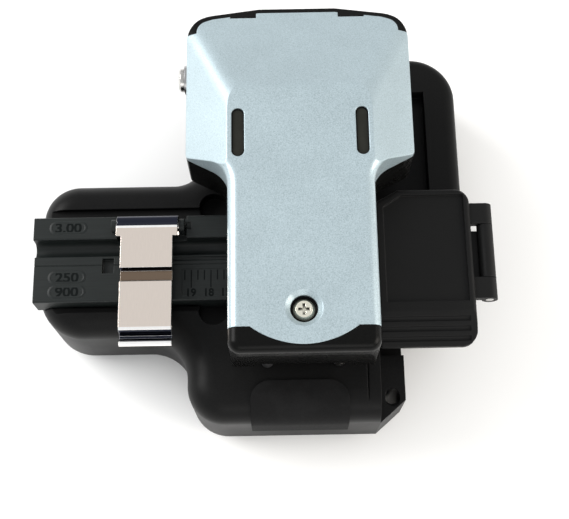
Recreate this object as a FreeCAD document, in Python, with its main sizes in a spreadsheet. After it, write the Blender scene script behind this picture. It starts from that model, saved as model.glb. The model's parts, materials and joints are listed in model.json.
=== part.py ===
import FreeCAD, Part
import os
import re
import Sketcher

# Fibre cleaver, hand held.  Millimetres.  X runs along the fibre, +Y to the hinge at the rear, +Z up.
# The origin is on the table, below the middle of the outline.

SIZES = {
    # arm: wide head over the hinge, narrow neck over the blade
    "arm_x": 7.0,
    "arm_under": 27.5,
    "arm_split": 38.0,
    "arm_top": 46.0,
    "arm_rear": 40.5,
    "arm_front": -32.0,
    "neck_half": 13.7,
    "neck_round": 2.0,
    "neck_end": 3.6,
    "neck_blend": 6.0,
    "head_half": 22.0,
    "head_shoulder": 7.9,
    "head_side_rear": 37.6,
    "head_taper_inset": 5.2,
    "head_taper_rear": 38.9,
    "head_flat_half": 7.6,
    "head_corner": 6.0,
    "shoulder_corner": 1.2,
    "rear_slope_start": 19.4,
    "arm_wall": 1.8,
    "gate_lap": 0.5,
    "gate_rise": 2.0,
    "roof_wall": 2.0,
    "cover_wall": 1.8,
    "ridge_wall": 0.4,
    "rear_border": 1.1,
    "corner_border": 2.0,
    "corner_border_front": 34.2,
    "cover_corner": 3.0,
    "clip_half": 2.6,
    "clip_offset": 10.8,
    "clip_depth": 0.9,
    "slot_offset": 11.65,
    "slot_front": 5.0,
    "slot_length": 9.8,
    "slot_width": 2.4,
    "insert_below": 0.4,
    "insert_gap": 0.05,
    "nose_edge": -27.5,
    "nose_edge_half": 9.7,
    "nose_tongue": 3.3,
    "nose_corner": 2.2,
    "nose_lean": 1.4,
    "nose_lean_height": 4.0,
    "scoop_half": 9.5,
    "scoop_depth": 0.45,
    "scoop_height": 8.0,
    "ridge_round": 6.0,
    "nose_gap": 0.12,
    "nose_wall": 1.4,
    "screw_y": -24.2,
    "screw_head_radius": 2.1,
    "screw_dish_radius": 3.4,
    "screw_recess_radius": 2.5,
    "screw_recess_depth": 1.5,
    "screw_dish_depth": 0.9,
    "cover_screw_radius": 1.0,
    "cover_screw_head": 1.3,
    # hinge
    "hinge_y": 28.5,
    "hinge_z": 31.0,
    "shaft_radius": 2.4,
    "shaft_running": 0.05,
    "shaft_out": 2.2,
    "bush_wall": 0.8,
    "ear_radius": 4.5,
    "ear_width": 5.5,
    "ear_gap": 0.4,
    "shaft_chamfer": 0.4,
    "e_clip_width": 0.8,
    "e_clip_gap": 0.2,
    "e_clip_bite": 0.5,
    "e_clip_ring": 0.6,
    "e_clip_mouth": 1.4,
    # drive lever and tongue
    "lever_left": 5.8,
    "lever_width": 3.0,
    "lever_half": 4.2,
    "lever_eye": 2.2,
    "lever_foot_half": 6.2,
    "lever_foot_height": 1.4,
    "lever_screw_side": 4.3,
    "roof_screw_side": 5.6,
    "roof_screw_radius": 0.9,
    "roof_screw_head_radius": 1.8,
    "roof_screw_head": 1.1,
    "carrier_screw_length": 5.0,
    "drive_forward": 7.0,
    "drive_drop": 12.12,
    "drive_pin_radius": 1.0,
    "fork_gap": 0.3,
    "fork_wall": 1.2,
    "tongue_screw_radius": 0.8,
    "tongue_screw_length": 5.0,
    "tongue_left": 9.5,
    "tongue_width": 3.0,
    "tongue_lap": 6.0,
    "tongue_sink": 2.6,
    "tongue_rise": 0.6,
    "tongue_screw_back": 2.0,
    "tongue_screw_head_radius": 1.5,
    "tongue_screw_head": 0.9,
    "fork_rise": 2.6,
    "fork_reach": 4.0,
    # base
    "foot_height": 2.2,
    "cover_under": 1.4,
    "floor_z": 3.4,
    "trough_floor": 5.4,
    "base_screw_sink": 1.2,
    "base_screw_length": 7.0,
    "base_screw_radius": 1.0,
    "base_screw_head_radius": 2.0,
    "base_screw_head": 1.1,
    "screw_head_gap": 0.1,
    "foot_chamfer": 0.4,
    "boss_inset": 7.0,
    "wing_boss": 16.0,
    "foot_radius": 3.5,
    "foot_inset": 6.5,
    "cover_inset": 1.0,
    "deck_z": 16.0,
    "lobe_top": 19.0,
    "rim_z": 23.5,
    "shoulder": 5.5,
    "shoulder_start": 18.0,
    "wing_corner": 9.0,
    "waist_corner": 9.0,
    "end_corner": 7.5,
    "rear_waist_corner": 6.0,
    "lobe_corner": 9.5,
    "cover_bay_gap": 0.4,
    "rear_corner": 7.0,
    "lobe_edge": 2.5,
    "pocket_corner": 4.0,
    "lobe_pocket_corner": 3.0,
    "lobe_pocket_wall": 0.8,
    "rib_half": 0.7,
    "rib_height": 5.0,
    "base_wall": 2.0,
    "wing_left": -46.0,
    "wing_front": -22.3,
    "wing_rear": 10.0,
    "handle_left": -16.0,
    "handle_front": -40.1,
    "bay_wall": 22.0,
    "centre_rear": 20.0,
    "rear_left": -13.0,
    "rear_right": 41.0,
    "rear_end": 39.5,
    "lobe_front": 6.4,
    "lobe_rim_left": 34.2,
    "lobe_rim_front": 31.0,
    "strip_right": 27.3,
    "strip_top": 17.0,
    "strip_rear": -26.5,
    "strip_chamfer_y": 4.5,
    "strip_chamfer_x": 5.2,
    "step_top": 12.5,
    "lanyard_x": 24.7,
    "lanyard_y": -34.6,
    "lanyard_radius": 1.4,
    "lanyard_mouth": 3.6,
    "lanyard_mouth_depth": 2.0,
    "bay_floor_right": 38.5,
    "bay_inset": 0.6,
    # adapter and its seat
    "adapter_gap": 0.4,
    "adapter_front": -16.8,
    "adapter_width": 17.0,
    "adapter_floor": 20.5,
    "adapter_height": 5.5,
    "adapter_edge": 0.35,
    "rear_rail_height": 2.0,
    "rear_rail_width": 4.7,
    "rear_rail_gap": 0.4,
    "gauge_left": 4.2,
    "gauge_length": 2.3,
    "gauge_front": -11.0,
    "gauge_width": 3.1,
    "gauge_depth": 1.2,
    "end_step_length": 3.0,
    "end_step_width": 4.0,
    "end_step_depth": 1.5,
    "seat_clear": 0.15,
    "seat_depth": 1.8,
    "channel_front": 1.4,
    "channel_rear": 3.3,
    "notch_x": -10.5,
    "notch_radius": 3.0,
    "cable_groove": -6.0,
    "cable_groove_radius": 1.5,
    "buffer_groove": -8.2,
    "buffer_groove_width": 0.9,
    "coat_groove": -9.3,
    "coat_groove_width": 0.3,
    "magnet_radius": 2.5,
    "magnet_height": 1.5,
    "magnet_inset": 9.4,
    # adapter clamp
    "lid_axis_y": -2.0,
    "lid_axis_z": 28.2,
    "lid_barrel": 2.0,
    "lid_pin_radius": 0.8,
    "lid_left": -28.3,
    "lid_width": 10.1,
    "lid_ear": 0.95,
    "lid_ear_front": -4.8,
    "lid_front": -22.6,
    "lid_top": 30.6,
    "lid_sheet": 0.8,
    "lid_flange_gap": 1.4,
    "rubber_gap": 0.2,
    "rubber_end_gap": 0.4,
    "rubber_front": 1.6,
    "lid_channel_rear": -10.1,
    "lid_channel_front": -13.1,
    "lid_channel_depth": 1.1,
    "lid_lip_front": -25.0,
    "lid_lip_z": 25.6,
    "lug_width": 1.0,
    "lug_radius": 1.35,
    "lug_gap": 0.2,
    "lug_sink": 0.5,
    "lid_pin_out": 0.3,
    "lid_pin_chamfer": 0.35,
    # blade line
    "fibre_y": -7.5,
    "fibre_z": 26.0,
    "pad_length": 14.0,
    "pad_width": 4.0,
    "pad_offset": 7.6,
    "pad_height": 1.5,
    "pad_gap": 0.3,
    "pad_inset": 0.4,
    "pad_side_inset": 0.3,
    "fibre_drop": 0.1,
    "carrier_gap": 0.8,
    "carrier_border": 0.5,
    "relief_half": 4.0,
    "relief_height": 2.5,
    "anvil_gap": 0.5,
    "anvil_tip_half": 0.8,
    "anvil_half": 1.6,
    "anvil_shoulder": 1.6,
    "anvil_half_length": 5.0,
    "bed_under": 18.0,
    "bed_height": 2.5,
    "bed_left": -5.0,
    "bed_right": 19.0,
    "bed_front": -27.0,
    "bed_rear": 15.0,
    "bed_slot_half": 4.8,
    "bed_screw_inset": 2.5,
    "bed_screw_sink": 1.0,
    "bed_border": 2.0,
    "bed_screw_radius": 0.8,
    "bed_screw_head_radius": 1.5,
    "bed_screw_head": 0.9,
    "bed_screw_length": 4.5,
    "trough_half": 8.0,
    "trough_front_wall": 1.0,
    "trough_rear_wall": 2.0,
    "rail_end_gap": 0.5,
    "passage_left_gap": 0.6,
    "passage_right_gap": 0.5,
    "fork_clear": 0.3,
    "head_clear": 0.6,
    "split_inset": 2.6,
    "split_width": 0.3,
    "split_depth": 0.4,
    "blade_radius": 7.0,
    "blade_thick": 1.2,
    "blade_bore": 2.5,
    "blade_bevel": 1.2,
    "blade_edge": 0.05,
    "carriage_y": -0.5,
    "carriage_travel": 14.0,
    "carriage_half_x": 7.0,
    "carriage_half_y": 8.0,
    "carriage_under": 6.2,
    "carriage_top": 11.4,
    "bracket_thick": 3.0,
    "bracket_gap": 0.6,
    "bracket_half": 3.4,
    "blade_screw_radius": 1.2,
    "blade_screw_head_radius": 3.0,
    "blade_screw_head": 1.4,
    "driver_slot_half": 0.4,
    "driver_slot_depth": 0.6,
    "bush_flange_radius": 3.2,
    "rail_width": 5.0,
    "rail_height": 3.0,
    "rail_running": 0.08,
    # scrap box
    "bin_left": 22.3,
    "bin_right": 40.8,
    "bin_front": -20.6,
    "bin_rear": 5.2,
    "bin_top": 24.0,
    "bin_wall": 1.3,
    "bin_corner": 3.0,
    "bin_relief_x": 4.3,
    "bin_relief_y": 2.4,
    "bin_screw_inset": 6.0,
    "bin_screw_z": 12.0,
    "bin_screw_radius": 0.9,
    "bin_screw_head": 1.0,
    "bin_screw_reach": 3.0,
    "flap_front": -26.8,
    "flap_plate": 3.0,
    "flap_gap": 0.05,
    "flap_overhang": 0.2,
    "flap_border": 1.3,
    "flap_inset": 0.6,
    "flap_inset_front": -18.1,
    "flap_edge": 0.8,
    "grip_start": -20.0,
    "grip_fall": 1.8,
    "grip_first": -21.6,
    "grip_pitch": 1.88,
    "grip_radius": 0.55,
    "knuckle_x": 44.1,
    "knuckle_z": 24.2,
    "knuckle_radius": 1.6,
    "knuckle_pin_radius": 0.8,
    "knuckle_front": -17.3,
    "knuckle_rear": 2.55,
    "knuckle_split_front": -12.9,
    "knuckle_split_rear": -1.85,
    "knuckle_gap": 0.1,
    "web_short": 0.9,
    "web_thick": 1.2,
    # thumb pad and closing stops
    "thumb_left": -3.4,
    "thumb_right": 15.8,
    "thumb_rear": -32.5,
    "thumb_under": 12.0,
    "thumb_thick": 0.4,
    "thumb_corner": 4.0,
    "stop_y": -28.85,
    "stop_offset": 7.0,
    "stop_radius": 1.2,
    "stop_sink": 1.5,
    "stop_chamfer": 0.6,
    "catch_post_height": 1.2,
    "stop_gap": 0.3,
    "catch_plate_height": 0.8,
}

doc = FreeCAD.newDocument("fibre_cleaver")
sheet = doc.addObject("Spreadsheet::Sheet", "sizes")
for row, (alias, size) in enumerate(SIZES.items(), start=1):
    sheet.set(f"A{row}", alias.replace("_", " "))
    sheet.set(f"B{row}", str(size))
    sheet.setAlias(f"B{row}", alias)
doc.recompute()

X = FreeCAD.Vector(1, 0, 0)
Y = FreeCAD.Vector(0, 1, 0)
Z = FreeCAD.Vector(0, 0, 1)
TINY = 0.01
SUB_PARTS = []


def bound(formula):
    """Turn a formula in the sheet's aliases into a FreeCAD expression."""
    def full(word):
        return "sizes." + word.group() if word.group() in SIZES else word.group()
    return re.sub(r"[a-z]\w*", full, formula)


def number(formula):
    """The value of a formula in the sheet's aliases."""
    return float(sheet.evalExpression(bound(formula)))


def tie(item, **formulas):
    for name, formula in formulas.items():
        item.setExpression(name, bound(formula))


def place(item, x="0", y="0", z="0"):
    for axis, formula in zip("xyz", (x, y, z)):
        item.setExpression(f"Placement.Base.{axis}", bound(formula))


def block(name, x, y, z):
    """A box between two formulas along each axis."""
    box = doc.addObject("Part::Box", name)
    tie(box, Length=f"({x[1]}) - ({x[0]})", Width=f"({y[1]}) - ({y[0]})", Height=f"({z[1]}) - ({z[0]})")
    place(box, x[0], y[0], z[0])
    return box


def rod(name, axis, start, end, radius, u, v):
    """A cylinder along one axis; u and v are its centre on the other two, in X, Y, Z order."""
    cylinder = doc.addObject("Part::Cylinder", name)
    cylinder.Placement.Rotation = {"x": FreeCAD.Rotation(Z, X), "y": FreeCAD.Rotation(Z, Y),
                                   "z": FreeCAD.Rotation()}[axis]
    tie(cylinder, Radius=radius, Height=f"({end}) - ({start})")
    spot = {"x": (start, u, v), "y": (u, start, v), "z": (u, v, start)}
    place(cylinder, *spot[axis])
    return cylinder


def cone(name, start, end, radius_start, radius_end, x, y):
    item = doc.addObject("Part::Cone", name)
    tie(item, Radius1=radius_start, Radius2=radius_end, Height=f"({end}) - ({start})")
    place(item, x, y, start)
    return item


def joined(name, *items):
    fuse = doc.addObject("Part::MultiFuse", name)
    fuse.Shapes = list(items)
    fuse.Refine = True
    return fuse


def cut(name, base, *tools):
    result = doc.addObject("Part::Cut", name)
    result.Base = base
    result.Tool = tools[0] if len(tools) == 1 else joined(name + "_tools", *tools)
    result.Refine = True
    return result


def common(name, first, second):
    result = doc.addObject("Part::Common", name)
    result.Base = first
    result.Tool = second
    result.Refine = True
    return result


def loop(sketch, corners):
    """One closed loop of straight lines, every corner tied to its pair of formulas."""
    spots = [FreeCAD.Vector(number(u), number(v), 0) for u, v in corners]
    count = len(spots)
    first = sketch.GeometryCount
    for index, spot in enumerate(spots):
        sketch.addGeometry(Part.LineSegment(spot, spots[(index + 1) % count]), False)
    for index in range(count):
        sketch.addConstraint(Sketcher.Constraint("Coincident", first + index, 2, first + (index + 1) % count,
                                                 1))
    for index, (u, v) in enumerate(corners):
        for kind, formula, start in (("DistanceX", u, spots[index].x), ("DistanceY", v, spots[index].y)):
            row = sketch.addConstraint(Sketcher.Constraint(kind, first + index, 1, start))
            sketch.setExpression(f"Constraints[{row}]", bound(formula))


def sketch_on(body, name, role, offset):
    sketch = body.newObject("Sketcher::SketchObject", name)
    plane = [item for item in body.Origin.OriginFeatures if item.Role == role][0]
    sketch.AttachmentSupport = [(plane, "")]
    sketch.MapMode = "FlatFace"
    sketch.setExpression("AttachmentOffset.Base.z", bound(offset))
    return sketch


def padded(name, role, corners, start, end):
    """A body padded from a loop: XY_Plane corners are (x, y) and it rises along Z;
    YZ_Plane corners are (y, z) and it runs along X."""
    body = doc.addObject("PartDesign::Body", name)
    sketch = sketch_on(body, name + "_outline", role, start)
    loop(sketch, corners)
    pad = body.newObject("PartDesign::Pad", name + "_pad")
    pad.Profile = sketch
    tie(pad, Length=f"({end}) - ({start})")
    sketch.Visibility = False
    doc.recompute()
    return body


def edges_of(body, wanted):
    return [f"Edge{index}" for index, edge in enumerate(body.Tip.Shape.Edges, start=1) if wanted(edge)]


def fillet(body, radius, wanted):
    """Round the edges of the body's last feature that pass the test."""
    base = body.Tip
    names = edges_of(body, wanted)
    feature = body.newObject("PartDesign::Fillet", body.Name + "_round")
    feature.Base = (base, names)
    tie(feature, Radius=radius)
    body.Tip = feature
    doc.recompute()


def along(edge, axis):
    """True for a straight edge parallel to the axis."""
    if not isinstance(edge.Curve, (Part.Line, Part.LineSegment)):
        return False
    return edge.tangentAt(edge.FirstParameter).cross(axis).Length < TINY


def upright_at(*spots):
    """A test for vertical edges that stand at the given (x, y) formulas."""
    places = [(number(u), number(v)) for u, v in spots]

    def wanted(edge):
        middle = edge.CenterOfMass
        return along(edge, Z) and any(abs(middle.x - u) + abs(middle.y - v) < TINY for u, v in places)
    return wanted


def ends_at(axis, *spots):
    """A test for edges along X that pass through the given (y, z) formulas."""
    places = [(number(u), number(v)) for u, v in spots]

    def wanted(edge):
        middle = edge.CenterOfMass
        return along(edge, axis) and any(abs(middle.y - u) + abs(middle.z - v) < TINY for u, v in places)
    return wanted


def level(edge, z):
    box = edge.BoundBox
    return abs(box.ZMin - z) < TINY and abs(box.ZMax - z) < TINY


def turned(name, centre, profile, axis="z"):
    """A body turned about an axis through the centre; the profile is (radius, height) formulas."""
    body = doc.addObject("PartDesign::Body", name)
    sketch = sketch_on(body, name + "_profile", "XZ_Plane", "0")
    loop(sketch, profile)
    revolution = body.newObject("PartDesign::Revolution", name + "_turn")
    revolution.Profile = sketch
    revolution.ReferenceAxis = (sketch, ["V_Axis"])
    revolution.Angle = 360
    sketch.Visibility = False
    body.Placement.Rotation = {"z": FreeCAD.Rotation(), "x": FreeCAD.Rotation(Z, X),
                               "down": FreeCAD.Rotation(X, 180)}[axis]
    place(body, *centre)
    doc.recompute()
    return body


def keep(node, item):
    """Name a finished sub-part."""
    item.Label = node
    SUB_PARTS.append(item)
    return item


def group(node, *items):
    """Identical pieces that share one node stay separate solids."""
    compound = doc.addObject("Part::Compound", node)
    compound.Links = list(items)
    return keep(node, compound)


def pan_screw(name, x, y, seat, length, head_radius, head_height, shank_radius, down=False):
    """A pan-head screw with a cross recess; the head's underside lies at seat."""
    head = turned(name + "_head", (x, y, seat), [
        ("0", f"-({length})"), (shank_radius, f"-({length})"), (shank_radius, "0"),
        (head_radius, "0"), (head_radius, f"{head_height} * 0.55"), (f"{head_radius} * 0.72", head_height),
        ("0", head_height)], "down" if down else "z")
    recess = (f"{seat} + {head_height} * 0.45", f"{seat} + {head_height} + 1")
    if down:
        recess = (f"{seat} - {head_height} - 1", f"{seat} - {head_height} * 0.45")
    arms = []
    for index, (wide, long) in enumerate(((0.13, 0.5), (0.5, 0.13))):
        arms.append(block(f"{name}_slot{index}",
                          (f"{x} - {head_radius} * {wide}", f"{x} + {head_radius} * {wide}"),
                          (f"{y} - {head_radius} * {long}", f"{y} + {head_radius} * {long}"), recess))
    return cut(name, head, *arms)


# Arm
WIDE = ("arm_x - head_half - 2", "arm_x + head_half + 2")


def arm_plan(inset="0"):
    """Right and left halves of the arm's outline: narrow neck, shoulders, wide head with a bowed rear."""
    half = [
        (f"neck_half - {inset}", f"arm_front + {inset}"),
        (f"neck_half - {inset}", "neck_end"),
        (f"head_half - {inset}", f"head_shoulder + {inset}"),
        (f"head_half - {inset}", f"head_side_rear - {inset} * 0.8"),
        ("head_half - head_taper_inset", f"head_taper_rear - {inset}"),
        ("head_flat_half", f"arm_rear - {inset}"),
    ]
    right = [(f"arm_x + ({u})", v) for u, v in half]
    left = [(f"arm_x - ({u})", v) for u, v in reversed(half)]
    return right + left


def arm_outline(name, low, high, inset, corner, blend):
    body = padded(name, "XY_Plane", arm_plan(inset), low, high)
    fillet(body, blend, upright_at(("arm_x + neck_half - " + inset, "neck_end"),
                                   ("arm_x - (neck_half - " + inset + ")", "neck_end")))
    fillet(body, corner, upright_at(("arm_x + head_half - " + inset, f"head_side_rear - {inset} * 0.8"),
                                    ("arm_x - (head_half - " + inset + ")",
                                     f"head_side_rear - {inset} * 0.8")))
    return body


def arm_envelope():
    """The whole arm as one form: flat top, sloped rear, bevelled head sides and a leaning nose."""
    body = arm_outline("arm_form", "arm_under", "arm_top", "0", "head_corner", "neck_blend")
    fillet(body, "nose_corner", upright_at(("arm_x + neck_half", "arm_front"),
                                           ("arm_x - neck_half", "arm_front")))
    top, shoulder_line, slope_front = number("arm_top"), number("head_shoulder"), number("rear_slope_start")
    fillet(body, "neck_round", lambda edge: level(edge, top) and edge.BoundBox.YMax < shoulder_line + TINY)
    beyond = "arm_rear + 2"
    fall = f"(arm_top - arm_split) * ({beyond} - rear_slope_start) / (arm_rear - rear_slope_start)"
    slope = padded("rear_slope", "YZ_Plane", [
        ("rear_slope_start", "arm_top"), (beyond, f"arm_top - {fall}"), (beyond, "arm_top + 2"),
        ("rear_slope_start", "arm_top + 2")], *WIDE)
    bevels = []
    for side, sign in (("left", "-"), ("right", "+")):
        body_side = doc.addObject("PartDesign::Body", f"bevel_{side}")
        sketch = sketch_on(body_side, f"bevel_{side}_profile", "XZ_Plane", "-arm_rear - 2")
        loop(sketch, [(f"arm_x {sign} neck_half", "arm_top"),
                      (f"arm_x {sign} (head_half + 1)", "arm_split"),
                      (f"arm_x {sign} (head_half + 1)", "arm_top + 2"),
                      (f"arm_x {sign} neck_half", "arm_top + 2")])
        pad = body_side.newObject("PartDesign::Pad", f"bevel_{side}_pad")
        pad.Profile = sketch
        tie(pad, Length="arm_rear + 2 - arm_front + 2")
        bevels.append(body_side)
    undercut = padded("nose_undercut", "YZ_Plane", [
        ("arm_front", "arm_split + nose_lean_height"), ("arm_front + nose_lean", "arm_under"),
        ("arm_front + nose_lean", "arm_under - 1"), ("arm_front - 1", "arm_under - 1"),
        ("arm_front - 1", "arm_split + nose_lean_height")], *WIDE)
    scoop = padded("nose_scoop", "YZ_Plane", [
        ("arm_front", "arm_under + scoop_height"), ("arm_front + nose_lean + scoop_depth", "arm_under"),
        ("arm_front + nose_lean + scoop_depth", "arm_under - 1"), ("arm_front - 1", "arm_under - 1"),
        ("arm_front - 1", "arm_under + scoop_height")], "arm_x - scoop_half", "arm_x + scoop_half")
    shaped = cut("arm_faceted", body, slope, undercut, scoop, *bevels)
    doc.recompute()

    def ridge(edge):
        box = edge.BoundBox
        return box.YMin > slope_front - TINY and box.ZMax > top - TINY
    shouldered = rounded("arm_shouldered", shaped, "shoulder_corner",
                         upright_at(("arm_x + head_half", "head_shoulder"),
                                    ("arm_x - head_half", "head_shoulder")))
    return rounded("arm_rounded", shouldered, "ridge_round", ridge)


def rounded(name, base, radius, wanted):
    """Round chosen edges of any solid."""
    result = doc.addObject("Part::Fillet", name)
    result.Base = base
    size = number(radius)
    result.Edges = [(index, size, size) for index,
                    edge in enumerate(base.Shape.Edges, start=1) if wanted(edge)]
    doc.recompute()
    return result


def pill(name, x, y_front, length, width, low, high):
    """An upright slot shape with round ends, long in Y."""
    half = f"({width}) / 2"
    near = f"{y_front} + {half}"
    far = f"{y_front} + {length} - {half}"
    return joined(name, block(name + "_mid", (f"{x} - {half}", f"{x} + {half}"), (near, far), (low, high)),
                  rod(name + "_front", "z", low, high, half, x, near),
                  rod(name + "_rear", "z", low, high, half, x, far))


CARRIER_SCREWS = [("arm_x - roof_screw_side", "fibre_y"), ("arm_x + roof_screw_side", "fibre_y")]
LEVER_SCREWS = [("arm_x - lever_screw_side", "hinge_y"), ("arm_x + lever_screw_side", "hinge_y")]
TONGUE_RADIUS = "(nose_edge_half * nose_edge_half + nose_tongue * nose_tongue) / (2 * nose_tongue)"
TONGUE_Y = f"nose_edge - nose_tongue + {TONGUE_RADIUS}"


def cover_zone():
    """Space of the painted cover: behind the curved nose line, inside the rear border, above the split."""
    half = [("head_half + 1", "nose_edge"), ("head_half + 1", "corner_border_front"),
            ("head_half - corner_border", "corner_border_front"),
            ("head_half - corner_border", "head_side_rear - rear_border"),
            ("head_half - head_taper_inset", "head_taper_rear - rear_border"),
            ("head_flat_half", "arm_rear - rear_border")]
    corners = [(f"arm_x + {u}", v) for u, v in half] + [(f"arm_x - ({u})", v) for u, v in reversed(half)]
    prism = padded("cover_prism", "XY_Plane", corners, "arm_split", "arm_top + 1")
    fillet(prism, "cover_corner",
           upright_at(("arm_x + head_half - corner_border", "head_side_rear - rear_border"),
                      ("arm_x - (head_half - corner_border)", "head_side_rear - rear_border")))
    tongue = rod("cover_tongue", "z", "arm_split", "arm_top + 1", TONGUE_RADIUS, "arm_x", TONGUE_Y)
    notches = []
    for side, sign in (("left", "-"), ("right", "+")):
        centre = f"arm_x {sign} clip_offset"
        notches.append(block(f"clip_notch_{side}", (f"{centre} - clip_half", f"{centre} + clip_half"),
                             ("head_taper_rear - clip_depth", "arm_rear + 1"),
                             ("arm_split - 1", "arm_top + 2")))
    narrow_tongue = common("cover_tongue_trim", tongue,
                           block("tongue_band", WIDE, ("arm_front", f"nose_edge + {TINY}"),
                                 ("arm_split", "arm_top + 1")))
    return cut("cover_space", joined("cover_space_full", prism, narrow_tongue), *notches)


def shaft_bore(name, start, end):
    return rod(name, "x", start, end, "shaft_radius + shaft_running", "hinge_y", "hinge_z")


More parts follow.
